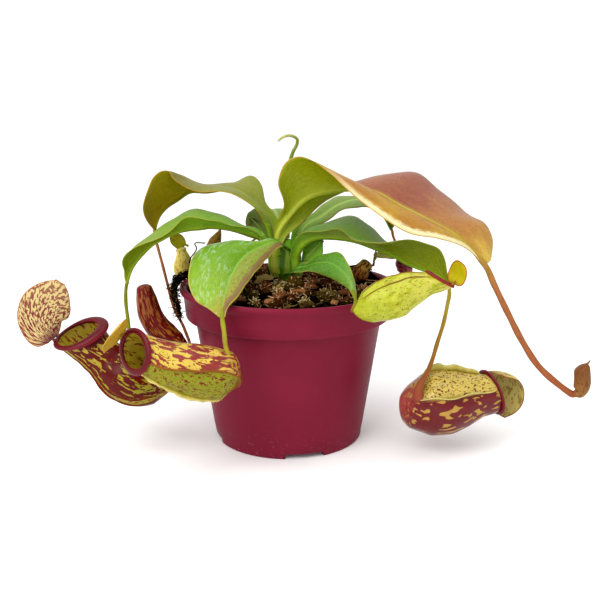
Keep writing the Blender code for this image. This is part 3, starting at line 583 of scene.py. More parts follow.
@dataclass(frozen=True)
class CupSkin(Finish):
    """Pitcher wall: waxy tissue with blotches that are drawn out along the pitcher.

    The wax gives clear highlights. The colour changes from base to mouth, and the strip between the
    two wings has its own.
    """
    ground: tuple                  # places from base to mouth and colours
    blotch: str
    cover: float = 0.45
    size: tuple = (2.6, 2.6, 7.0)  # of a blotch, across and along the pitcher
    strip: str = ""                # colour between the wings, empty where it doesn't differ
    strip_blotch: str = "#7a2a22"
    strip_cover: float = 0.2
    strip_size: tuple = (0.9, 0.9, 1.6)
    speck: str = "#6e2420"
    specks: float = 0.0            # share of the surface with fine specks
    blush: str = ""                # colour that spreads from the base
    blush_reach: float = 0.25
    ragged: float = 2.0            # how ragged the blotches are
    rough: float = 0.3
    coat: float = 0.15

    def paint(self, tree: Tree, shader: Node) -> None:
        """Lay the ground, blotches, the strip between the wings and specks."""
        zone, place = carried(tree)
        cloud = add(tree, "TexNoise", {"Vector": place, "Scale": 0.22, "Detail": 4.0, "Roughness": 0.6})
        along = wandering(tree, cloud, 0.3, zone)
        layers = [(blotches(tree, place, self.size, self.cover, self.ragged), self.blotch)]
        if self.strip:
            marks = blotches(tree, place, self.strip_size, self.strip_cover)
            layers.append(((zone, "Z"), lay(tree, self.strip, (marks, self.strip_blotch))))
        if self.specks:
            layers.append((blotches(tree, place, (0.8, 0.8, 1.1), self.specks, detail=1.0), self.speck))
        if self.blush:
            near_base = add(tree, "MapRange", {0: along, 1: self.blush_reach, 2: 0.02}, **SOFT)
            layers.append((near_base, self.blush))
        colour = lay(tree, add(tree, "ValToRGB", {0: along}, self.ground), *layers)
        grit = add(tree, "TexNoise", {"Vector": place, "Scale": 1.6, "Detail": 3.0})
        self.complete(tree, shader, shaded(tree, colour, cloud, (0.86, 1.12)), grit, (0.4, 0.12), {
            "Roughness": self.rough, "Coat Weight": self.coat, "Coat Roughness": 0.2,
            "Subsurface Weight": 0.08, "Subsurface Scale": 1.2 * MM, "Subsurface Radius": (1.0, 0.5, 0.2)})


@dataclass(frozen=True)
class StalkSkin(Finish):
    """Smooth living tissue whose colour changes along it, such as a tendril, lip or stem.

    Its skin is tight and faintly streaked, so that highlights run along it.
    """
    colours: tuple
    rough: float = 0.35
    coat: float = 0.0
    streak: str = ""        # colour of fine lengthwise streaks
    streaks: float = 0.3

    def paint(self, tree: Tree, shader: Node) -> None:
        """Lay the colours along the stalk, with fine streaks."""
        zone, place = carried(tree)
        cloud = add(tree, "TexNoise", {"Vector": place, "Scale": 0.35, "Detail": 4.0, "Roughness": 0.6})
        colour = add(tree, "ValToRGB", {0: wandering(tree, cloud, 0.3, zone)}, self.colours)
        if self.streak:
            drawn_out = add(tree, "VectorMath", {0: place, 1: (2.2, 2.2, 0.16)}, operation="MULTIPLY")
            field = add(tree, "TexNoise", {"Vector": drawn_out, "Scale": 1.0, "Detail": 3.0})
            mask = add(tree, "MapRange", {0: field, 1: 0.45, 2: 0.65, 4: self.streaks})
            colour = lay(tree, colour, (mask, self.streak))
        grit = add(tree, "TexNoise", {"Vector": place, "Scale": 2.5, "Detail": 2.0})
        self.complete(tree, shader, shaded(tree, colour, cloud, (0.85, 1.12)), grit, (0.35, 0.08), {
            "Roughness": self.rough, "Coat Weight": self.coat, "Coat Roughness": 0.15})


@dataclass(frozen=True)
class LidSkin(Finish):
    """Lid: thin waxy tissue whose streaks spread from the hinge, darkest there.

    It is thin enough to let some light through, which keeps its shaded side warm.
    """
    ground: str
    streak: str
    margin: str
    cover: float = 0.5
    hinge: str = "#3a1420"
    rough: float = 0.45
    scale: float = 1.0      # of the streaks

    def paint(self, tree: Tree, shader: Node) -> None:
        """Lay the ground, the streaks, the dark hinge and the margin."""
        zone, place = carried(tree)
        skin = add(tree, "SeparateXYZ", {0: place})
        ahead = add(tree, "Math", {0: (skin, "X"), 1: 3.0})
        turn = add(tree, "Math", {0: (skin, "Y"), 1: ahead}, operation="ARCTAN2")
        polar = add(tree, "CombineXYZ", {0: product(tree, turn, 14.0), 1: (skin, "X"), 2: (zone, "Z")})
        size = (self.scale, 3.2 * self.scale, 3.0)
        fade = add(tree, "MapRange", {0: (zone, "X"), 1: 0.3, 2: 1.0, 3: 1.0, 4: 0.75})
        marks = product(tree, blotches(tree, polar, size, self.cover, detail=3.0, soft=0.035), fade)
        dark = add(tree, "MapRange", {0: (zone, "X"), 1: 0.2, 2: 0.0, 4: 0.85}, **SOFT)
        edge = add(tree, "MapRange", {0: (skin, "Z"), 1: 0.8, 2: 0.3}, **SOFT)
        colour = lay(tree, self.ground, (marks, self.streak), (dark, self.hinge), (edge, self.margin))
        self.complete(tree, shader, colour, marks, (0.6, 0.15), {
            "Roughness": self.rough, "Subsurface Weight": 0.1, "Subsurface Scale": 1.0 * MM})


@dataclass(frozen=True)
class PotPlastic(Finish):
    """Injection-moulded polypropylene, dyed through.

    Moulding leaves a fine even grain that spreads the highlights, and handling leaves pale scuffs
    low on the wall.
    """
    colour: str = "#861e37"
    scuff: str = "#b8707c"
    rough: float = 0.42

    def paint(self, tree: Tree, shader: Node) -> None:
        """Lay the dyed plastic, a little dust and the scuffs."""
        zone, place = carried(tree)
        cloud = add(tree, "TexNoise", {"Vector": place, "Scale": 0.04, "Detail": 5.0, "Roughness": 0.6})
        low = add(tree, "MapRange", {0: (zone, "X"), 1: 0.2, 2: 0.02, 4: 0.6})
        marks = product(tree, blotches(tree, place, (2.2, 2.2, 0.7), 0.08, detail=3.0), low)
        colour = lay(tree, shaded(tree, self.colour, cloud, (0.93, 1.07)), (marks, self.scuff))
        grain = add(tree, "TexNoise", {"Vector": place, "Scale": 1.8, "Detail": 3.0})
        gloss = add(tree, "MapRange", {0: cloud, 1: 0.3, 2: 0.7, 3: self.rough - 0.05, 4: self.rough + 0.07})
        self.complete(tree, shader, colour, grain, (0.25, 0.06), {"Roughness": gloss})


@dataclass(frozen=True)
class LooseMatter(Finish):
    """Peat, bark, coir or dry moss: broken plant matter, dull and rough.

    Each crumb has its own colour, picked by the number that its points carry in the zone.
    """
    colours: tuple
    rough: float = 0.9
    depth: float = 0.5      # of the roughness, in millimetres
    grain: tuple = (0.9, 0.9, 0.9)

    def paint(self, tree: Tree, shader: Node) -> None:
        """Pick each crumb's colour, with painted shade in the pits of its relief and painted light on its
        rises.
        """
        zone, place = carried(tree)
        shares = [1 / value for value in self.grain]
        grains = add(tree, "VectorMath", {0: place, 1: shares}, operation="MULTIPLY")
        field = add(tree, "TexNoise", {"Vector": grains, "Scale": 1.0, "Detail": 5.0, "Roughness": 0.7})
        colour = add(tree, "ValToRGB", {0: wandering(tree, field, 0.5, zone)}, self.colours)
        # Painted shade and light: the field that makes the relief also darkens the colour in its pits and
        # lightens it on its rises.
        colour = shaded(tree, colour, field, (0.55, 1.2), (0.35, 0.65))
        self.complete(tree, shader, colour, field, (0.9, self.depth), {
            "Roughness": self.rough, "Specular IOR Level": 0.0})


# ---------------------------------------------------------------- stem and leaves

STEM_X = -1.0
STEM_OUTLINE = ((52.0, 3.0), (62.0, 4.6), (88.0, 6.4), (97.0, 7.6), (103.0, 7.0), (108.0, 4.8), (111.5, 2.6))


def stem_radius(height: Array | float) -> Array:
    """Radius of the stem at a height."""
    return np.interp(height, *np.array(STEM_OUTLINE).T)


@dataclass(frozen=True)
class LeafBlade:
    """Leaf blade between three rails: its midrib and its two margins, its upper side up."""
    name: str
    skin: LeafSkin
    slot: str
    azimuth: float          # where its base sits round the stem, in degrees
    height: float           # and how high
    mid: tuple              # points of the midrib after the base
    left: tuple             # points of the left margin between base and tip
    right: tuple            # points of the right margin between base and tip
    base: float = 5.0       # width at the stem
    tip: float = 2.2        # width where the tendril begins
    bulge: float = 2.0      # how far each half domes up between midrib and margin
    keel: float = 1.2       # radius of the midrib's rounded underside near the base
    ripple: float = 0.35    # height of the margins' waves
    waves: float = 6.0      # number of waves along a margin
    sheath: float = 14.0    # length of the clasping base, 0 for none
    thickness: float = 0.6

    ROWS = 100
    HALF = 11               # points across each half
    BASE_ROWS = 26          # of the clasping base

    def rails(self) -> tuple[Array, Array, Array]:
        """Midrib, left margin and right margin, from the stem to the tip."""
        azimuth = math.radians(self.azimuth)
        outward = np.array([math.cos(azimuth), math.sin(azimuth), 0.0])
        leftward = np.array([-math.sin(azimuth), math.cos(azimuth), 0.0])
        base = np.array([STEM_X, 0.0, self.height]) + (stem_radius(self.height) + 0.9) * outward
        mid = np.array([base, *self.mid], dtype=float)
        tip_left = unit(np.cross((0.0, 0.0, 1.0), mid[-1] - mid[-2])) * self.tip / 2
        left = [base + self.base / 2 * leftward, *self.left, mid[-1] + tip_left]
        right = [base - self.base / 2 * leftward, *self.right, mid[-1] - tip_left]
        return mid, np.array(left, dtype=float), np.array(right, dtype=float)

    def surface(self) -> tuple[Array, Array, Array, Array]:
        """Middle surface of the blade.

        Returns:
            Its grid of points, the normals, the share across at each column and the half widths.
        """
        mid, left, right = [smooth_curve(rail, self.ROWS) for rail in self.rails()]
        upward = unit(np.cross(tangents(mid), left - right))[:, None]
        steps = np.linspace(1.0, -1.0, 2 * self.HALF + 1)
        share = np.sign(steps) * np.abs(steps) ** 1.15
        toward = np.where(share[None, :, None] > 0, (left - mid)[:, None], (right - mid)[:, None])
        width = np.linalg.norm(toward, axis=2)
        size = np.abs(share)[None, :]
        t = np.linspace(0.0, 1.0, self.ROWS)[:, None]
        lift = self.bulge * np.minimum(width / 20.0, 1.0) * 4 * size * (1 - size)
        phase = np.where(share[None] > 0, 0.0, 2.1)
        wave = self.ripple * np.sin(2 * math.pi * self.waves * t + phase) * size**2.5
        wave = wave * np.minimum(width / 10, 1) * np.sin(math.pi * t) ** 0.5
        grid = mid[:, None] + toward * size[..., None] + upward * (lift + wave)[..., None]
        normals = unit(np.cross(np.gradient(grid, axis=0), -np.gradient(grid, axis=1)))
        return grid, normals, share, width

    def build(self, origin: Vector) -> None:
        """Make the blade with its clasping base and dress it."""
        draft = Draft()
        grid, normals, share, width = self.surface()
        t = np.linspace(0.0, 1.0, self.ROWS)[:, None]
        away = np.abs(share)[None] * width
        radius = self.keel * (1 - 0.55 * t) + 0.25
        groove = 0.45 * np.exp(-(away / 0.8) ** 2) * (1 - 0.5 * t)
        keel = radius * np.exp(-(away / radius) ** 2 / 1.2)
        half = self.thickness / 2 * (1 - 0.65 * np.abs(share)[None] ** 8)
        over = grid + normals * (half - groove)[..., None]
        under = grid - normals * (half + keel)[..., None]
        place = stacked(run_length(grid[:, self.HALF])[:, None], np.sign(share) * away,
                        (1 - np.abs(share)) * width)
        draft.sheet(over, under, stacked(t, share[None], 1.0), place)
        if self.sheath:
            self.clasp(draft, under)
        draft.piece(f"{self.name}_blade", [self.skin], [f"{self.name}_leaf"], origin)

    def clasp(self, draft: Draft, under: Array) -> None:
        """Add the folded base that clasps the stem below the blade.

        Args:
            draft: the leaf's mesh.
            under: the blade's lower side, which the base runs into.
        """
        columns = under.shape[1]
        share = np.linspace(1.0, -1.0, columns)
        rows = []
        for step in np.linspace(0.0, 1.0, 12):
            height = self.height - self.sheath + (self.sheath - 1.5) * step
            half = math.radians(62 - 28 * step)
            angles = math.radians(self.azimuth) + half * share
            fold = (0.9 + 0.5 * step) * np.exp(-(share / 0.3) ** 2)
            radius = stem_radius(height) + 0.55 + 0.9 * step + fold
            rows.append(circle(radius, angles, height) + (STEM_X, 0.0, 0.0))
        blade_rows = under[4:14]
        middle = blade_rows.mean(axis=1, keepdims=True)
        blade_rows = middle + (blade_rows - middle) * 1.06
        path = np.concatenate([rows, blade_rows])
        smooth = np.stack([smooth_curve(path[:, column], self.BASE_ROWS)
                           for column in range(columns)], axis=1)
        normals = unit(np.cross(np.gradient(smooth, axis=0), np.gradient(smooth, axis=1)))
        outward = smooth.mean(axis=1, keepdims=True) - np.array([STEM_X, 0.0, 0.0])
        outward[..., 2] = 0.0
        if np.sum(normals * outward) < 0:
            normals = -normals
        inner = smooth - normals * (0.8 * (1 - 0.5 * np.abs(share) ** 4))[None, :, None]
        zone = stacked(np.linspace(0.0, 0.09, self.BASE_ROWS)[:, None], share[None], 0.0)
        place = stacked(np.linspace(0.0, self.sheath, self.BASE_ROWS)[:, None], 4.0 * share,
                        1.0 + 4.0 * (1 - np.abs(share)))
        draft.sheet(smooth, inner, zone, place)


@dataclass(frozen=True)
class Tendril:
    """Stalk that carries on from a leaf's midrib down to its pitcher."""
    leaf: LeafBlade
    skin: StalkSkin
    slot: str
    route: tuple
    start: float        # radius at the leaf
    end: float          # radius at the pitcher
    flare: float = 0.0  # how much it thickens where it runs into the pitcher
    sink: tuple = ()    # points inside the pitcher where it ends, when that isn't the foot

    def build(self, origin: Vector, seat: Sequence) -> None:
        """Make the tendril.

        Args:
            origin: where the pot's axis stands.
            seat: points inside the pitcher's foot that it runs on to.
        """
        mid = smooth_curve(self.leaf.rails()[0], 60)
        curve = smooth_curve([mid[-5] - (0, 0, 0.5), mid[-3] - (0, 0, 0.2), mid[-1], *self.route, *seat],
                             22 * (len(self.route) + 2))
        t = np.linspace(0.0, 1.0, len(curve))
        radii = self.start + (self.end - self.start) * t
        radii = radii * (0.4 + 0.6 * smooth_step(0.0, 0.1, t)) * (1 + 0.05 * np.sin(t * 40))
        radii = radii + self.flare * smooth_step(0.7, 0.97, t) ** 1.5
        draft = Draft()
        draft.tube(curve, radii, 14)
        draft.piece(f"{self.leaf.name}_stalk", [self.skin], [f"{self.leaf.name}_tendril"], origin)


# ---------------------------------------------------------------- pitchers and lids

class CupPart(IntEnum):
    """Parts of a pitcher, numbered as its finishes are."""
    WALL = 0
    LIP = 1
    INSIDE = 2
    WING = 3
    LOWER_WING = 4


@dataclass(frozen=True)
class Wing:
    """Thin frill that runs along a pitcher."""
    start_side: tuple       # direction in which it stands near the base
    end_side: tuple         # and near the mouth
    reach: tuple            # shares of the pitcher's length where it starts and ends
    height: float = 2.0
    wave: float = 0.25
    fringe: int = 0         # number of hairs along its edge
    part: CupPart = CupPart.WING
    waves: float = 1.0      # number of its waves, as a share of the usual number


@dataclass(frozen=True)
class PitcherCup:
    """Pitcher swept along its axis: closed while young or withered, open when it has a mouth."""
    name: str
    finishes: tuple                      # of the wall, the lip, the inside and the wings
    slot: str
    axis: tuple                          # from the base to the middle of the mouth
    radii: tuple                         # at equal steps of the axis
    mouth: tuple = None                  # direction the mouth faces, or None when closed
    hinge: tuple = (1.0, 0.0, 0.0)       # direction of the lid's hinge from the mouth's middle
    stretch: float = 1.0                 # widening of the mouth towards the hinge
    lip: float = 1.6                     # size of the rolled lip
    lip_swell: float = 0.0               # how much thicker the lip is away from the hinge
    hollow: float = 0.85                 # part of the length that is hollow
    wings: tuple = ()
    slant: tuple = None                  # direction that a closed end faces, when it is cut off at a slant
    spur: float = 0.0                    # length of the point beside a closed end
    dents: float = 0.25                  # height of the wall's unevenness
    on_soil: bool = False                # fallen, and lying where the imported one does

    ROWS = 72
    SIDES = 72
    RIBS = 64               # round the lip
    LIP_SIDES = 18          # points round the lip's section
    WING_ROWS = 70

    @property
    def places(self) -> Array:
        """Shares of the length where the fine rings stand, closer together at both ends."""
        even = np.linspace(0.0, 1.0, self.ROWS)
        return 0.35 * even + 0.65 * (0.5 - 0.5 * np.cos(math.pi * even))

    def frames(self, places: Array) -> tuple[Array, Array, Array, Array]:
        """Middles, facings and two side vectors of rings at some shares of the length."""
        fine = smooth_curve(self.axis, 400)
        even = np.linspace(0.0, 1.0, len(fine))
        centres, facings = [read_rows(places, even, rows) for rows in (fine, tangents(fine))]
        facings = unit(facings)
        if self.mouth or self.slant:
            mouth = unit(np.array(self.mouth or self.slant, dtype=float))
            blend = np.clip((places - 0.55) / 0.45, 0, 1)[:, None] ** 1.5
            facings = unit(facings * (1 - blend) + mouth * blend)
        hinge = np.array(self.hinge)
        towards = unit(hinge - facings * (facings @ hinge)[:, None])
        return centres, facings, towards, np.cross(facings, towards)

    def oval(self, place: Array | float) -> Array | float:
        """How much wider the pitcher is towards its hinge, at a share of its length."""
        return 1 + (self.stretch - 1) * np.clip((place - 0.6) / 0.4, 0, 1)

    def ring(self, centre: Array, towards: Array, across: Array, radius: Array | float,
             angles: Array, oval: float) -> Array:
        """Points of one oval ring."""
        radius = np.broadcast_to(radius, angles.shape)[:, None]
        cos, sin = np.cos(angles)[:, None], np.sin(angles)[:, None]
        return centre + radius * (oval * cos * towards + sin * across)

    @staticmethod
    def rounded(shares: Array) -> Array:
        """Quarter round from near 0 at a closed end to 1."""
        return np.sqrt(np.maximum(1 - (1 - np.minimum(shares, 1.0)) ** 2, 0.0004))

    def thickness(self, run: Array) -> Array:
        """Radius at each fine ring, rounded off inside both closed ends."""
        radii = spread(self.radii, self.places)
        reach = min(1.3 * self.radii[0] + 1.5, 6.0)
        radii = radii * self.rounded(run / reach)
        if self.mouth is None:
            reach = 0.55 * self.radii[-1]
            radii = radii * self.rounded((run[-1] - run) / reach)
        return radii

    def between(self, frames: tuple, angles: Array) -> Array:
        """How far each point of the wall lies in the strip between the first two wings."""
        if len(self.wings) < 2:
            return np.zeros((self.ROWS, len(angles)))
        edges = [self.wing_angles(frames, wing) for wing in self.wings[:2]]
        span = (edges[1] - edges[0] + math.pi) % (2 * math.pi) - math.pi
        middle = (edges[0] + span / 2)[:, None]
        off = np.abs((angles[None] - middle + math.pi) % (2 * math.pi) - math.pi)
        return smooth_step(0.06, -0.06, off - np.abs(span)[:, None] / 2)

    def wing_angles(self, frames: tuple, wing: Wing) -> Array:
        """Angle round the pitcher of a wing, at each of its rings."""
        _, _, towards, across = frames
        t = self.places[:, None]
        side = np.array(wing.start_side) * (1 - t) + np.array(wing.end_side) * t
        forward = np.sum(side * towards, axis=1) / self.oval(self.places)
        return np.unwrap(np.arctan2(np.sum(side * across, axis=1), forward))

    def build(self, origin: Vector) -> None:
        """Make the wall, and the lip, the inside and the wings where it has them."""
        draft = Draft()
        frames = self.frames(self.places)
        centres, _, towards, across = frames
        t = self.places
        run = run_length(centres)
        radii = self.thickness(run)
        angles = around(self.SIDES)
        strip = self.between(frames, angles)
        outside = []
        for row in range(self.ROWS):
            points = self.ring(centres[row], towards[row], across[row], radii[row], angles,
                               self.oval(t[row]))
            outward = unit(points - centres[row])
            bumps = np.array([noise.noise(Vector(point * 0.13)) for point in points])[:, None]
            outside.append(points + outward * bumps * self.dents * 2 * min(radii[row] / 3, 1))
        zone = stacked(t[:, None], 0.0, strip)
        skin = circle(radii[:, None], angles, run[:, None])
        draft.rings(outside, zone, skin, CupPart.WALL, (True, self.mouth is None))
        if self.mouth is not None:
            self.add_inside(draft, frames, radii, angles, skin)
            self.add_lip(draft, frames, radii)
        for wing in self.wings:
            self.add_wing(draft, frames, radii, wing)
        if self.spur:
            root = centres[-1] + towards[-1] * self.radii[-1] * 0.7 - frames[1][-1] * 0.8
            tip = root + (towards[-1] + frames[1][-1] * 0.4) * self.spur
            draft.tube(smooth_curve([root - towards[-1], root, tip], 10), np.linspace(0.9, 0.2, 10), 8)
        draft.piece(f"{self.name}_cup", self.finishes, [f"{self.name}_pitcher"],
                    origin + self.settling())

    def settling(self) -> Vector:
        """How far a fallen pitcher lies from the table's place, in metres."""
        if not self.on_soil:
            return Vector()
        places = np.linspace(0, 1, 9)
        centres, _, towards, across = self.frames(places)
        rings = [self.ring(*row, around(10), self.oval(place)) for *row, place
                 in zip(centres, towards, across, spread(self.radii, places), places)]
        lowest = min(ring[:, 2].min() for ring in rings)
        return Vector((0, 0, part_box(f"{self.name}_pitcher")[0].z - lowest * MM))

    def add_inside(self, draft: Draft, frames: tuple, radii: Array, angles: Array, skin: Array) -> None:
        """Add the inner wall and the bottom of the hollow."""
        centres, _, towards, across = frames
        deepest = int(np.argmax(self.places > 1 - self.hollow))
        rows = range(self.ROWS - 1, deepest, -1)
        inside = []
        for row in rows:
            inner = max(radii[row] - 0.9, 0.5)
            inside.append(self.ring(centres[row], towards[row], across[row], inner, angles,
                                    self.oval(self.places[row])))
        zone = stacked(self.places[list(rows)][:, None], 1.0, np.zeros((len(rows), self.SIDES)))
        draft.rings(inside, zone, skin[list(rows)], CupPart.INSIDE, (False, True))

    def add_lip(self, draft: Draft, frames: tuple, radii: Array) -> None:
        """Add the rolled, finely ribbed lip."""
        centres, facings, towards, across = frames
        bend = around(self.LIP_SIDES)
        sections, skins = [], []
        for turn in around(4 * self.RIBS):
            wide = self.lip * (1.0 + 0.1 * math.sin(3 * turn + 1) + self.lip_swell * (0.3 - math.cos(turn)))
            ribs = 1 + 0.055 * math.cos(turn * self.RIBS)
            out = radii[-1] + 0.15 * wide + np.cos(bend) * wide * 0.95 * ribs
            up = 0.45 * wide + np.sin(bend) * wide * 0.62 * ribs - 0.25 * np.cos(bend) * wide
            direction = self.stretch * math.cos(turn) * towards[-1] + math.sin(turn) * across[-1]
            sections.append(centres[-1] + out[:, None] * direction + up[:, None] * facings[-1])
            skins.append(circle(out, turn, up))
        draft.rings(sections, stacked((1 + np.sin(bend)) / 2, 0.5, 0.0), skins, CupPart.LIP, looped=True)

    def add_wing(self, draft: Draft, frames: tuple, radii: Array, wing: Wing) -> None:
        """Add one frill and the hairs along its edge."""
        t = self.places
        spots = np.linspace(*wing.reach, self.WING_ROWS)
        turn = np.interp(spots, t, self.wing_angles(frames, wing))
        middles, facings, towards, across = [read_rows(spots, t, rows) for rows in frames]
        radius = np.interp(spots, t, radii)[:, None]
        outward = (self.oval(spots[:, None]) * np.cos(turn)[:, None] * towards
                   + np.sin(turn)[:, None] * across)
        foot = middles + (radius - 0.5) * outward
        outward = unit(outward)
        sideways = unit(np.cross(facings, outward))
        share = np.linspace(0.0, 1.0, self.WING_ROWS)
        beat = np.sin(share * 21 * wing.waves) * np.sin(share * 34 * wing.waves + 1)
        size = wing.height * np.sin(math.pi * share) ** 0.4 * (1 + wing.wave * beat)
        lean = wing.wave * wing.height * np.sin(share * 27 * wing.waves + 0.7)
        edge = foot + outward * (size + 0.5)[:, None] + sideways * lean[:, None]
        middle = foot * 0.45 + edge * 0.55
        thick = np.array([0.55, 0.32, 0.14])[None, :, None]
        lines = np.stack([foot, middle, edge], axis=1)
        aside = sideways[:, None] * thick
        loop = np.concatenate([lines + aside, (lines - aside)[:, ::-1]], axis=1)
        zone = stacked((0.0, 0.55, 1.0, 1.0, 0.55, 0.0), spots[:, None], 0.0)
        draft.rings(loop, zone, loop - frames[0][0], wing.part)
        rng = random.Random(wing.fringe)
        for index in range(wing.fringe):
            place = int(2 + index * (self.WING_ROWS - 5) / wing.fringe)
            aim = unit(outward[place] + sideways[place] * rng.uniform(-0.5, 0.5)
                       + facings[place] * rng.uniform(-0.4, 0.4))
            root = edge[place] - outward[place] * 0.2
            hair = np.array([root + aim * step * rng.uniform(0.5, 1.1) for step in (0.0, 0.5, 1.1)])
            draft.tube(hair, (0.16, 0.12, 0.04), 5, wing.part)

    def hinge_point(self) -> Array:
        """Where the lid's neck leaves the lip."""
        centres, facings, towards, _ = self.frames(np.linspace(0, 1, 11))
        lip = self.lip if self.mouth else 0.0
        reach = self.radii[-1] * self.stretch + lip / 2
        return centres[-1] + towards[-1] * reach + facings[-1] * (lip * 0.6)


@dataclass(frozen=True)
class PitcherLid:
    """Domed thin lid on its neck."""
    cup: PitcherCup
    skin: LidSkin
    slot: str
    axis: tuple                          # points after the hinge, the last one its apex
    width: float
    side: tuple                          # direction across the lid
    bulge: float
    lobe: float = 0.0                    # how far its two lobes reach back past the hinge
    full: float = 0.65                   # how blunt its outline is, lower is blunter
    wave: float = 0.5
    neck: float = 0.8                    # radius of the neck
    thickness: float = 0.5
    keel: float = 0.4                    # height of its middle rib
    lean: float = 0.0                    # how far one side is slid forward and the other one back

    ROWS = 40
    HALF = 12

    def build(self, origin: Vector) -> None:
        """Make the lid and its neck."""
        draft = Draft()
        hinge = self.cup.hinge_point()
        start = hinge + unit(np.array(self.axis[0]) - hinge) * 1.2
        curve = smooth_curve([start, *self.axis], self.ROWS)
        headings, across, upward = crosswise(curve, self.side)
        t = np.linspace(0.0, 1.0, self.ROWS)[:, None]
        share = np.linspace(-1.0, 1.0, 2 * self.HALF + 1)[None]
        outline = np.sin(math.pi * np.clip(t, 0.012, 0.985) ** 0.85) ** self.full
        half = np.maximum(self.width / 2 * outline, 0.3)
        back = self.lobe * (np.abs(share) * 2 * half / self.width) ** 1.5 * (1 - t) ** 2
        back = back - self.lean * share * np.sin(math.pi * t)
        lift = self.bulge * (1 - share**2) * np.sin(math.pi * t) ** 0.7
        lift = lift + self.wave * np.sin(9 * t + 3 * share + self.width) * np.abs(share) ** 2
        rib = self.keel * np.exp(-(share * half / 0.5) ** 2) * (1 - t)
        grid = (curve[:, None] + across[:, None] * (half * share)[..., None]
                - headings[:, None] * back[..., None] + upward[:, None] * (lift + rib)[..., None])
        normals = unit(np.cross(np.gradient(grid, axis=0), np.gradient(grid, axis=1)))
        thick = (self.thickness / 2 * (1 - 0.6 * np.abs(share) ** 6))[..., None]
        sign = 1.0 if np.sum(normals * upward[:, None]) > 0 else -1.0
        over = grid + normals * thick * sign
        under = grid - normals * thick * sign
        run = run_length(curve)[:, None]
        margin = np.minimum(half * (1 - np.abs(share)), (run[-1] - run) * 0.6 + 0.2)
        draft.sheet(over, under, stacked(t, share, 1.0), stacked(run - back, half * share, margin))
        neck = smooth_curve([hinge - headings[0] * 0.8, hinge, start + headings[0] * 1.5], 8)
        draft.tube(neck, np.linspace(self.neck * 1.3, self.neck * 0.7, 8), 10, 0, share=(0.0, 0.02))
        draft.piece(f"{self.cup.name}_cover", [self.skin], [f"{self.cup.name}_lid"],
                    origin + self.cup.settling())


# ---------------------------------------------------------------- pot

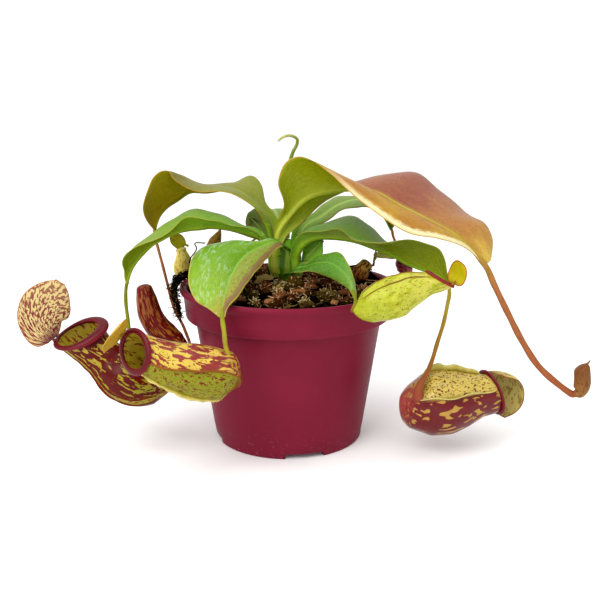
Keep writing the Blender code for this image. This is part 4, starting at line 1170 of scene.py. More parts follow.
@dataclass(frozen=True)
class NurseryPot:
    """Round injection-moulded pot with a collar, a notched foot and drain holes."""
    rim_radius: float = 60.0
    height: float = 87.0
    collar_height: float = 17.0
    collar_radius: float = 57.0
    foot_radius: float = 41.5
    slope: float = 0.15             # of the wall, in radius for height
    wall: float = 1.3
    floor_bottom: float = 3.0
    floor_top: float = 4.5
    notches: int = 4
    notch_angle: float = 30.0
    first_notch: float = -77.0
    drains: int = 6
    drain_radius: float = 3.5
    drain_circle: float = 24.0
    first_drain: float = 11.0
    hub_radius: float = 14.0        # plain middle of the floor, inside the drain holes
    outer_ring: float = 34.0        # where the floor is plain again, outside them
    plastic: PotPlastic = PotPlastic("dyed_polypropylene")

    SEGMENTS = 192
    SIDE = 20                       # steps along each side of a sector of the floor

    def wall_radius(self, height: float) -> float:
        """Outer radius of the plain wall at a height."""
        return self.foot_radius + self.slope * height

    def inside(self) -> list[tuple[float, float]]:
        """Half section of the inner face, from the floor's edge up to the rim."""
        collar = self.height - self.collar_height
        foot, floor = self.wall_radius(self.floor_top) - self.wall, self.floor_top
        neck = self.collar_radius - self.wall
        return [(foot - 3.0, floor), (foot - 2.2, floor + 0.3), (foot - 1.0, floor + 2.0),
                (self.wall_radius(collar) - self.wall, collar - 1.0), (neck - 1.0, collar + 2.0),
                (neck, self.height - 4.0), (neck + 0.1, self.height - 1.6)]

    def section(self) -> list[tuple[float, float]]:
        """Half section of the outer face, from the floor's edge over the rim."""
        foot, neck, top = self.foot_radius, self.collar_radius, self.height
        collar = top - self.collar_height
        under_collar = self.wall_radius(collar)
        bead = [(self.rim_radius - 0.9 + 0.9 * math.cos(a), top - 1.6 + 1.6 * math.sin(a))
                for a in np.linspace(-1.0, math.pi / 2, 9)]
        return [(foot - 3.2, self.floor_bottom), (foot - 3.0, self.floor_bottom - 0.4), (foot - 2.8, 0.3),
                (foot - 2.5, 0.0), (foot - 0.6, 0.0), (foot - 0.1, 0.25), (foot + 0.1, 0.8),
                (foot + 0.25, 3.0), *[(self.wall_radius(h), h) for h in np.linspace(8.0, collar - 1.0, 12)],
                (under_collar, collar - 0.2), (under_collar + 0.5, collar), (neck - 1.0, collar + 0.15),
                (neck - 0.35, collar + 0.5), (neck, collar + 1.3), (neck + 0.3, collar + 5.2),
                (neck + 0.38, collar + 5.6), (neck + 0.36, collar + 6.0), (neck + 0.9, top - 5.4),
                (neck + 1.5, top - 4.2), *bead, (neck + 0.6, top - 0.1), (neck - 0.5, top - 0.4)]

    def build(self, origin: Vector) -> None:
        """Make the pot: its spun wall, then its floor with the drain holes."""
        draft = Draft()
        edges = [math.radians(self.first_notch + turn * 360 / self.notches
                              + side * self.notch_angle / 2 + step)
                 for turn in range(self.notches) for side in (-1, 1) for step in (-0.12, 0.12)]
        angles = np.array(sorted({*around(self.SEGMENTS), *[edge % (2 * math.pi) for edge in edges]}))
        pitch = math.radians(360 / self.notches)
        off = (angles - math.radians(self.first_notch) + pitch / 2) % pitch - pitch / 2
        notched = np.abs(off) < math.radians(self.notch_angle / 2)
        rings = []
        for radius, height in [*self.section(), *reversed(self.inside())]:
            lowest = np.where(notched & (radius < self.foot_radius + 0.2), self.floor_bottom - 0.2, 0.0)
            rings.append(circle(radius, angles, np.maximum(height, lowest)))
        zone = stacked(np.array(rings)[..., 2] / self.height, 0.0, 0.0)
        draft.rings(rings, zone, rings, caps=(False, False))
        self.add_floor(draft, self.floor_bottom, self.foot_radius - 3.2)
        self.add_floor(draft, self.floor_top, self.inside()[0][0])
        self.add_drain_walls(draft)
        draft.piece("nursery_pot", [self.plastic], ["pot"], origin)

    def drain_circle_points(self, index: int, height: float) -> Array:
        """Points round one drain hole, which face the edge of its sector in turn."""
        middle = math.radians(self.first_drain + index * 360 / self.drains)
        turns = around(4 * self.SIDE) + middle - math.pi * 0.75
        return circle(self.drain_circle, middle, height) + circle(self.drain_radius, turns, 0.0)

    def add_floor(self, draft: Draft, height: float, outer: float) -> None:
        """Add one face of the floor, a sector at a time round the drain holes."""
        side = self.SIDE
        for index in range(self.drains):
            middle = self.first_drain + index * 360 / self.drains
            half = 180 / self.drains
            sweep = np.radians(np.linspace(middle - half, middle + half, side + 1))
            near, far = self.hub_radius, self.outer_ring
            border = ([(near, turn) for turn in sweep[::-1][:-1]]
                      + [(radius, sweep[0]) for radius in np.linspace(near, far, side + 1)[:-1]]
                      + [(far, turn) for turn in sweep[:-1]]
                      + [(radius, sweep[-1]) for radius in np.linspace(far, near, side + 1)[:-1]])
            edge = circle(*np.array(border).T, height)
            hole = self.drain_circle_points(index, height)
            start = int(np.argmin(np.linalg.norm(hole - edge[0], axis=1)))
            hole = np.roll(hole, -start, axis=0)
            ahead, behind = [hole[step] - edge[side // 2] for step in (side // 2, -side // 2)]
            if np.linalg.norm(ahead) > np.linalg.norm(behind):
                hole = np.roll(hole[::-1], 1, axis=0)
            draft.rings([edge, hole], (0, 0, 0), [edge, hole], caps=(False, False))
            strip = np.concatenate([circle(radius, sweep, height) for radius in (outer, far)])
            draft.add(strip, [(k, k + 1, k + side + 2, k + side + 1) for k in range(side)],
                      (0, 0, 0), (0, 0, 0))
        turns = around(self.drains * side) + math.radians(self.first_drain)
        draft.add(circle(self.hub_radius, turns, height), [tuple(range(len(turns)))],
                  (0, 0, 0), (0, 0, 0))

    def add_drain_walls(self, draft: Draft) -> None:
        """Add the walls of the drain holes."""
        for index in range(self.drains):
            walls = [self.drain_circle_points(index, height)
                     for height in (self.floor_bottom, self.floor_top)]
            draft.rings(walls, (0, 0, 0), walls, caps=(False, False))


# ---------------------------------------------------------------- soil and what lies on it

class SoilPart(IntEnum):
    """What the soil is made of, numbered as its finishes are."""
    PEAT = 0
    MOSS = 1
    WOOD = 2
    ROOT = 3


SOIL_FINISHES = (
    LooseMatter(
        "damp_peat", ((0.2, "#050302"), (0.5, "#100804"), (0.75, "#201208"), (0.95, "#402a14")),
        depth=0.9),
    LooseMatter(
        "sphagnum", ((0.1, "#1c1406"), (0.35, "#4c3812"), (0.6, "#a88a46"), (0.9, "#ecd49c")), depth=0.15),
    LooseMatter(
        "coconut_husk", ((0.1, "#1c0d04"), (0.35, "#4c260e"), (0.6, "#b07040"), (0.95, "#f8cca0")),
        depth=0.5, grain=(0.5, 0.5, 0.5)),
    LooseMatter("dead_root", ((0.2, "#241810"), (0.6, "#5c4630"), (0.9, "#8a7050")), depth=0.2),
)
MOSS_FINISHES = (
    LooseMatter(
        "tangled_moss", ((0.15, "#0a0604"), (0.45, "#281a0e"), (0.75, "#5c4424"), (0.95, "#9c8450")),
        depth=0.4),
    LooseMatter("black_rootlets", ((0.2, "#120e0c"), (0.8, "#2a201a")), depth=0.1, rough=0.7),
)
PINE_BARK = LooseMatter("pine_bark", ((0.2, "#6a3a20"), (0.5, "#9a5f36"), (0.8, "#c38a58")), depth=0.35)
DEAD_TISSUE = LooseMatter(
    "dead_leaf_tissue", ((0.2, "#a07838"), (0.6, "#ccaa68"), (0.9, "#e0c890")), depth=0.15)
# Painted light: the stem's upper greens are lighter than its own colour, to make up for the shade among the
# leaf bases.
STEM_BARK = StalkSkin(
    "stem_bark", ((0.0, "#2c2410"), (0.4, "#4c8010"), (0.8, "#5c9818"), (1.0, "#78b020")), rough=0.5)
YOUNG_SHOOT = StalkSkin(
    "young_shoot", ((0.0, "#8fb03c"), (0.5, "#7fa238"), (0.8, "#a9b84e"), (1.0, "#d8cf7e")), rough=0.35,
    streak="#6f8f30")


def turned(points: Array, angle: float) -> Array:
    """Points turned about the upright axis, by an angle in radians."""
    cos, sin = math.cos(angle), math.sin(angle)
    return points @ np.array([[cos, -sin, 0], [sin, cos, 0], [0, 0, 1]]).T


def scatter(rng: random.Random, reach: float) -> tuple[float, float]:
    """Random place within a distance from the pot's axis."""
    radius, turn = reach * math.sqrt(rng.random()), rng.uniform(0, 2 * math.pi)
    return radius * math.cos(turn), radius * math.sin(turn)


def shake(rng: random.Random, rise: float = 0.0, upright: float = 1.0) -> Array:
    """Random arrow, most often short, with its upward part moved and scaled."""
    return np.array([rng.gauss(0, 1), rng.gauss(0, 1), rise + rng.gauss(0, upright)])


def pebble(rng: random.Random, size: Sequence[float], rough: float,
           level: int = 2) -> tuple[Array, list]:
    """Lump with an uneven surface.

    Args:
        rng: source of its shape.
        size: its half sizes.
        rough: height of its unevenness, as a share.
        level: how finely it is divided.

    Returns:
        Its points round the origin and its faces.
    """
    ball = bmesh.new()
    bmesh.ops.create_icosphere(ball, subdivisions=level, radius=1.0)
    points = np.array([vertex.co for vertex in ball.verts])
    faces = [tuple(vertex.index for vertex in face.verts) for face in ball.faces]
    ball.free()
    seed = Vector((rng.uniform(-50, 50), rng.uniform(-50, 50), rng.uniform(-50, 50)))
    swell = [1 + rough * (noise.noise(Vector(p) * 1.3 + seed) + 0.5 * noise.noise(Vector(p) * 3.1 + seed))
             for p in points]
    return turned(points * np.array(swell)[:, None] * np.array(size), rng.uniform(0, 2 * math.pi)), faces


def curl(rng: random.Random, start: Array, length: float, bend: float, count: int = 7,
         rise: float = 0.2) -> Array:
    """Random curly line.

    Args:
        rng: source of its shape.
        start: where it begins.
        length: its length.
        bend: how sharply it turns.
        count: number of points.
        rise: how much it heads upwards at first.

    Returns:
        Its points.
    """
    heading = unit(shake(rng, rise, 0.35))
    points = [np.array(start, dtype=float)]
    for _ in range(count - 1):
        heading = unit(heading + bend * shake(rng, upright=0.6))
        points.append(points[-1] + heading * length / (count - 1))
    return np.array(points)


@dataclass(frozen=True)
class Soil:
    """Peat with its crumbs, fibres, moss tufts and fallen roots."""
    pot: NurseryPot
    edge: float = 83.5          # height of its surface at the wall
    middle: float = 91.0        # and round the stem
    top_radius: float = 54.5    # of its surface
    gap: float = 0.3            # to the pot
    crumbs: int = 150
    clumps: int = 40
    tufts: int = 34
    splinters: int = 70

    RADII = 80
    TURNS = 144

    def height_at(self, x: float, y: float) -> float:
        """Height of the smooth surface, as packed."""
        radius = math.hypot(x, y)
        heap = self.edge + (self.middle - self.edge) * math.cos(min(radius / 56.0, 1.0) * math.pi / 2)
        back_heap = 7.0 * math.exp(-((x - 42) ** 2 + (y - 30) ** 2) / 260.0)
        return heap + back_heap + 0.9 * math.sin(0.31 * x + 1.0) * math.cos(0.27 * y - 0.4)

    def build(self, origin: Vector) -> None:
        """Make the soil and everything loose that is part of it."""
        draft = Draft()
        rng = random.Random(11)
        self.add_ball(draft)
        self.add_crumbs(draft, rng)
        self.add_clumps(draft, rng)
        self.add_tufts(draft, rng)
        self.add_splinters(draft, rng)
        draft.piece("peat_soil", SOIL_FINISHES, ["soil"], origin)

    def add_ball(self, draft: Draft) -> None:
        """Add the root ball: its rough top, then its side and its underside."""
        turns = around(self.TURNS)
        side = [(radius - self.gap, height + self.gap / 3) for radius, height in self.pot.inside()[:-2]]
        lowest = self.pot.floor_top + self.gap
        rows = [circle(radius, turns, max(height, lowest)) for radius, height in side]
        for radius in np.linspace(self.top_radius, 0.3, self.RADII):
            calm = min((self.top_radius + 0.5 - radius) / 3, 1.0)
            row = circle(radius, turns, 3.0)
            for point in row:
                spot = Vector(point)
                rough = (1.1 * noise.noise(spot * 0.16) + 0.9 * abs(noise.noise(spot * 0.42))
                         + 0.5 * noise.noise(spot * 1.1))
                point[2] = self.height_at(*point[:2]) - 0.7 + rough * calm
            rows.append(row)
        draft.rings(rows, (0.42, 0, 0), rows, SoilPart.PEAT)

    def add_crumbs(self, draft: Draft, rng: random.Random) -> None:
        """Add crumbs of peat and bark."""
        for _ in range(self.crumbs):
            x, y = scatter(rng, 53.0)
            size = rng.uniform(0.6, 1.7) * rng.uniform(0.7, 1.4)
            sizes = (size * rng.uniform(0.9, 1.7), size, size * rng.uniform(0.5, 0.9))
            points, faces = pebble(rng, sizes, 0.8)
            part = SoilPart.WOOD if rng.random() < 0.2 else SoilPart.PEAT
            points = points + (x, y, self.height_at(x, y) + 0.1)
            draft.add(points, faces, (rng.uniform(0.25, 0.85), 0, 0), points, part)

    def add_clumps(self, draft: Draft, rng: random.Random) -> None:
        """Add fluffy clumps of coir and sphagnum with dark gaps between them, most of them at the front."""
        spots: list[tuple[float, float]] = []
        while len(spots) < self.clumps:
            radius, turn = rng.uniform(14.0, 49.0), rng.uniform(0, 2 * math.pi)
            if len(spots) % 4:
                turn = -math.pi / 2 + rng.uniform(-1.25, 1.25)
            x, y = radius * math.cos(turn), radius * math.sin(turn)
            if math.hypot(x + 13, y + 14) > 9 and all(math.hypot(x - a, y - b) > 7.4 for a, b in spots):
                spots.append((x, y))
        for index, (x, y) in enumerate(spots):
            size = rng.uniform(2.0, 3.3)
            part = SoilPart.MOSS if index % 5 in (1, 3) else SoilPart.WOOD
            self.add_clump(draft, rng, np.array([x, y, self.height_at(x, y) + 0.5 * size]), size, part)

    def add_clump(self, draft: Draft, rng: random.Random, middle: Array, size: float,
                  part: SoilPart) -> None:
        """Add one clump: a dark core under short bent fibres that are paler at their ends, partly their own
        colour and partly painted highlight on the ends and painted shade in the core.
        """
        sizes = (size * rng.uniform(1.0, 1.6), size, size * rng.uniform(0.7, 1.0))
        points, faces = pebble(rng, sizes, 1.3, 3)
        pick = rng.uniform(0.35, 0.7)
        # Painted shade in part: the core takes a darker colour than its fibres.
        draft.add(points + middle, faces, (pick - 0.15, 0, 0), points, part)
        for _ in range(int(26 * size)):
            spot = points[rng.randrange(len(points))]
            if spot[2] < -0.3 * size:
                continue
            heading = unit(unit(spot) + 0.8 * shake(rng))
            bend = 0.7 * shake(rng)
            reach = rng.uniform(0.6, 1.6)
            line = np.array([middle + spot * 0.9 + reach * (step * heading + step * step * bend)
                             for step in (0.0, 0.35, 0.7, 1.0)])
            # Painted highlight in part: each fibre's colour grows paler towards its free end.
            tone = pick + rng.uniform(-0.2, 0.2)
            draft.tube(line, np.array((0.34, 0.34, 0.26, 0.1)) * rng.uniform(0.6, 1.2), 4, part,
                       share=(tone - 0.1, tone + 0.45))

    def add_tufts(self, draft: Draft, rng: random.Random) -> None:
        """Add curled dry moss, scattered over the soil."""
        for _ in range(self.tufts):
            x, y = scatter(rng, 50.0)
            pick = rng.uniform(0.2, 0.8)
            for _ in range(rng.randint(7, 13)):
                start = (x + rng.gauss(0, 1.6), y + rng.gauss(0, 1.6),
                         self.height_at(x, y) + rng.uniform(0.0, 0.9))
                line = curl(rng, start, rng.uniform(2.5, 6.0), 0.75, 7, 0.25)
                line[:, 2] = np.maximum(line[:, 2], self.height_at(x, y) + 0.1)
                draft.tube(line, np.linspace(0.42, 0.18, 7), 5, SoilPart.MOSS, share=(pick, pick))

    def add_splinters(self, draft: Draft, rng: random.Random) -> None:
        """Add straight bits of wood and root lying in the peat."""
        for _ in range(self.splinters):
            x, y = scatter(rng, 51.0)
            heading, length = rng.uniform(0, math.pi), rng.uniform(3.0, 9.0)
            ends = [(x + s * length / 2 * math.cos(heading), y + s * length / 2 * math.sin(heading))
                    for s in (-1, 0, 1)]
            line = np.array([(a, b, self.height_at(a, b) + rng.uniform(0.2, 1.0)) for a, b in ends])
            part = SoilPart.WOOD if rng.random() < 0.6 else SoilPart.ROOT
            pick = rng.uniform(0.2, 0.9)
            draft.tube(smooth_curve(line, 8), rng.uniform(0.2, 0.55), 6, part, 0.6, (pick, pick))


@dataclass(frozen=True)
class BarkChip:
    """Flat piece of pine bark that lies where its packed one does."""
    index: int
    length: float
    width: float
    thickness: float
    turn: float             # in degrees
    pick: float             # which of the bark's colours it has

    def build(self, finish: LooseMatter) -> None:
        """Make the chip."""
        node = f"bark_chip_{self.index}"
        low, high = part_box(node)
        draft = Draft()
        rng = random.Random(100 + self.index)
        points, faces = pebble(rng, (1.0, 1.0, 1.0), 0.0, 4)
        points = np.sign(points) * np.abs(points) ** 0.7
        seed = Vector((self.index * 7.0, 3.0, 1.0))
        rough = np.array([1 + 0.22 * noise.noise(Vector(p) * 1.6 + seed)
                          + 0.1 * noise.noise(Vector(p) * 5 + seed) for p in points])
        points = points * rough[:, None] * (self.length * 0.44, self.width * 0.44, self.thickness * 0.42)
        points[:, 2] += 0.25 * np.sin(points[:, 1] * 5 + points[:, 0])
        draft.add(turned(points, math.radians(self.turn)), faces, (self.pick, 0, 0), points)
        draft.piece(f"bark_piece_{self.index}", [finish], [node], (low + high) / 2)


@dataclass(frozen=True)
class DeadLeaf:
    """Curled brown piece of an old leaf lying on the soil."""
    axis: tuple = ((-18, -14, 96), (-13, -12, 98), (-8, -9, 98))
    width: float = 7.0
    side: tuple = (-0.4, 1.0, 0.2)

    def build(self, finish: LooseMatter) -> None:
        """Make the piece of leaf."""
        low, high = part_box("dead_leaf_piece")
        draft = Draft()
        rows, half = 36, 9
        curve = smooth_curve(self.axis, rows)
        _, across, upward = crosswise(curve, self.side)
        t = np.linspace(0.0, 1.0, rows)[:, None]
        share = np.linspace(-1.0, 1.0, 2 * half + 1)[None]
        width = np.maximum(self.width / 2 * np.sin(math.pi * np.clip(t, 0.03, 0.97)) ** 0.5, 0.4)
        width = width * (1 + 0.16 * np.sin(23 * t) * np.abs(share))
        lift = 1.4 * (1 - share**2) * np.sin(math.pi * t) + 0.35 * np.sin(11 * t + 4 * share)
        grid = (curve[:, None] + across[:, None] * (width * share)[..., None]
                + upward[:, None] * lift[..., None])
        half_thick = 0.2 * upward[:, None]
        loop = np.concatenate([grid + half_thick, (grid - half_thick)[:, ::-1]], axis=1)
        middle = (loop.reshape(-1, 3).max(axis=0) + loop.reshape(-1, 3).min(axis=0)) / 2
        draft.rings(loop - middle, (0.5, 0, 0), loop)
        draft.piece("fallen_leaf", [finish], ["dead_leaf_piece"], (low + high) / 2)


@dataclass(frozen=True)
class MossClump:
    """Dry moss that hangs over the rim, with black rootlets in it."""
    route: tuple = ((-50, -6, 94), (-55, -9, 94.5), (-59.5, -12, 92.5), (-61.2, -16, 87), (-58.5, -21, 79),
                    (-57, -23.5, 72))
    radii: tuple = (2.0, 3.4, 3.0, 2.4, 1.8, 0.9)
    loose_root: tuple = ((-44.8, -6, 110.6), (-50.3, -8, 110.4), (-49.3, -9, 108.6), (-52.7, -10, 102.5),
                         (-53.6, -8, 97.6))
    strands: int = 260
    rootlets: int = 26

    ROWS = 60

    def build(self, origin: Vector) -> None:
        """Make the clump."""
        low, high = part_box("moss_clump")
        draft = Draft()
        rng = random.Random(5)
        curve = smooth_curve(self.route, self.ROWS)
        radii = spread(self.radii, np.linspace(0, 1, self.ROWS))
        table = np.array([curve.min(axis=0) - radii.max() * 0.8, curve.max(axis=0) + radii.max() * 0.8])
        shift = (np.array((low + high) / 2) / MM - table.mean(axis=0)) * (0, 0, 1)
        side, other = carried_sides(curve, ANY_SIDE)
        turns = around(20)[None, :, None]
        core = np.cos(turns) * side[:, None] + np.sin(turns) * other[:, None]
        rings = curve[:, None] + (radii * 0.62)[:, None, None] * core
        bumps = np.array([[1 + 0.35 * noise.noise(Vector(p) * 0.6) for p in ring] for ring in rings])
        rings = curve[:, None] + (rings - curve[:, None]) * bumps[..., None]
        draft.rings(rings + shift, (0.2, 0, 0), rings, 0)
        for _ in range(self.strands):
            spot = rng.randrange(2, self.ROWS - 4)
            turn = rng.uniform(0, 2 * math.pi)
            outward = math.cos(turn) * side[spot] + math.sin(turn) * other[spot]
            start = curve[spot] + outward * radii[spot] * rng.uniform(0.35, 0.75)
            line = curl(rng, start + shift, rng.uniform(2.0, 5.0), 0.8, 8, 0.0)
            pick = rng.uniform(0.15, 0.9)
            draft.tube(line, np.linspace(0.3, 0.12, 8), 5, 0, share=(pick, pick))
        for _ in range(self.rootlets):
            spot = rng.randrange(4, self.ROWS - 6)
            start = curve[spot] + shift + (0, 0, rng.uniform(-1, 2))
            line = curl(rng, start, rng.uniform(5.0, 12.0), 0.45, 10, 0.1)
            draft.tube(line, np.linspace(0.22, 0.12, 10), 5, 1, share=(0.2, 0.2))
        draft.tube(smooth_curve(self.loose_root, 40), 0.35, 6, 1, share=(0.2, 0.2))
        draft.piece("moss_overhang", MOSS_FINISHES, ["moss_clump"], origin)


@dataclass(frozen=True)
class Crown:
    """Short stem under the leaves and the furled shoot that rises from it."""
    shoot: tuple = ((-1, 0.0, 112.1), (-1, 0.2, 114), (-0.5, 3.4, 118), (0, 7.5, 126), (0, 9, 140),
                    (1, 9, 153), (3, 7, 159), (5, 5, 163), (5, 3, 165.5), (3, 1, 167), (0, -1, 167.5),
                    (-3, -3, 166.5), (-5, -4, 165))
    shoot_radii: tuple = (1.9, 2.2, 2.0, 1.6, 1.2, 1.05, 0.9, 0.75, 0.6)

    ROWS = 150

    def build(self, origin: Vector) -> None:
        """Make the stem and the shoot."""
        draft = Draft()
        heights = np.linspace(STEM_OUTLINE[0][0], STEM_OUTLINE[-1][0], 60)
        curve = np.array([(STEM_X, 0.0, height) for height in heights])
        radii = stem_radius(curve[:, 2]) * (1 + 0.03 * np.sin(curve[:, 2] * 2.1))
        draft.tube(curve, radii, 40)
        draft.piece("stem_heart", [STEM_BARK], ["stem"], origin)
        draft = Draft()
        curve = smooth_curve(self.shoot, self.ROWS)
        radii = spread(self.shoot_radii, np.linspace(0, 1, self.ROWS))
        draft.tube(curve, radii * (1 + 0.03 * np.sin(np.arange(self.ROWS) * 0.6)), 20)
        draft.piece("furled_shoot", [YOUNG_SHOOT], ["shoot"], origin)


# ---------------------------------------------------------------- the plant

# Painted light: the first stops of most leaf ramps, which also colour the clasping bases, are lighter than
# the leaves' own green to make up for the shade deep in the crown.
COPPERY = LeafSkin(
    "coppery_leaf", ((0.0, "#8aa818"), (0.16, "#a8941c"), (0.3, "#b87c18"), (0.4, "#c89c1c"),
        (0.5, "#b8781c"), (0.62, "#c8981c"), (0.75, "#b87c24"), (0.86, "#c89c28"), (1.0, "#e8d464")),
    ((0.0, "#8cb418"), (0.12, "#9cac0c"), (0.5, "#a2a206"), (0.8, "#9c9c06"), (1.0, "#a89818")), "#ccc050",
    "#c0c83c", "#d8a850", vein="#cfa05a", veins=0.16,
    half=((0.0, "#98683c"), (0.3, "#965440"), (0.45, "#a86844"), (0.6, "#9c5440"), (0.75, "#b47840"),
        # Painted light: the near-white band along the right margin stands for light glowing through the thin
        # edge of the blade.
        (0.85, "#b88040"), (1.0, "#e4c04c")), core="#b8a02c", core_width=3.0, band="#fcf0b8",
    band_side=-1.0, band_width=5.6, band_from=0.52, rough=0.3, shine=0.14)
BRONZE = LeafSkin(
    "bronze_green_leaf",
    ((0.0, "#86b820"), (0.25, "#8f9c34"), (0.55, "#908c4c"), (0.8, "#90803c"), (1.0, "#94861c")),
    ((0.0, "#8cb820"), (0.5, "#98980c"), (0.8, "#a89408"), (1.0, "#a48c04")), "#a8b050", "#b0ac20",
    "#d49c38", vein="#b4a860", veins=0.14)
# Painted reflection in part: the grey-green of this leaf's upper side is partly its own colour and partly a
# painted reflection of the white surroundings.
FRESH = LeafSkin(
    "fresh_green_leaf",
    ((0.0, "#78ac20"), (0.2, "#84b438"), (0.45, "#86b044"), (0.75, "#8ca844"), (1.0, "#84941c")),
    ((0.0, "#94d038"), (0.3, "#88bc30"), (0.7, "#749008"), (1.0, "#748404")), "#a8c850", "#98b428",
    "#b4b440", veins=0.2)
BRIGHT = LeafSkin(
    "bright_green_leaf",
    ((0.0, "#6c9c14"), (0.2, "#80b424"), (0.5, "#74a81c"), (0.85, "#94bc30"), (1.0, "#b8a840")),
    ((0.0, "#4c7c08"), (0.3, "#5f8c10"), (1.0, "#7c9c20")), "#90c848", "#88a428", "#e2cf52", veins=0.14,
    half=((0.0, "#74a424"), (0.25, "#92ac38"), (0.55, "#98a83c"), (0.8, "#a4a63e"), (1.0, "#b09c38")),
    half_side=1.0, band="#987a4c", band_side=1.0, band_width=3.0, dew=0.34, shine=0.15, rough=0.28,
    midrib_width=0.45, speck="#7c3c20")
DEEP = LeafSkin(
    "deep_green_leaf", ((0.0, "#68a418"), (0.3, "#7ca83c"), (0.7, "#86a840"), (1.0, "#84941c")),
    ((0.0, "#7cbc20"), (0.25, "#90b43c"), (0.45, "#9cac48"), (0.65, "#748808"), (0.85, "#849404"),
        (1.0, "#849406")), "#acd050", "#98c028", "#a8a43c", veins=0.26, rough=0.3)
LUSH = LeafSkin(
    "lush_green_leaf", ((0.0, "#4c8808"), (0.3, "#4e880a"), (0.7, "#5c9a20"), (1.0, "#7ca034")),
    ((0.0, "#3f6c01"), (0.5, "#4c7408"), (1.0, "#607c14")), "#78b038", "#7c9c20", "#a8ac3c", veins=0.3,
    rough=0.24, midrib_width=0.4, shine=0.4)
# Painted light: the inner leaf's base is lighter than its own green, to make up for the shade deep in the
# crown.
SHEATHING = LeafSkin(
    "bright_leaf_base", ((0.0, "#78bc20"), (0.5, "#90cc38"), (1.0, "#84bc38")),
    ((0.0, "#70b418"), (0.5, "#88c430"), (1.0, "#80b430")), "#b4e060", "#a8d448", "#5c8c18", veins=0.3,
    rough=0.3)
GREYED = LeafSkin(
    "greyed_leaf", ((0.0, "#6cac1c"), (0.3, "#80a044"), (0.7, "#8ca058"), (1.0, "#84904c")),
    ((0.0, "#74b41c"), (0.5, "#7ca01c"), (1.0, "#788c18")), "#a8c864", "#98bc34", "#8a7a30", veins=0.18,
    rough=0.42)
SPENT = LeafSkin(
    "spent_leaf", ((0.0, "#7cb82c"), (0.5, "#84ac3c"), (0.8, "#7c8838"), (1.0, "#3c3020")),
    ((0.0, "#70ac1c"), (0.6, "#7c9c2c"), (1.0, "#3c3020")), "#94b44c", "#88a43c", "#6a6430", veins=0.1,
    rough=0.55)

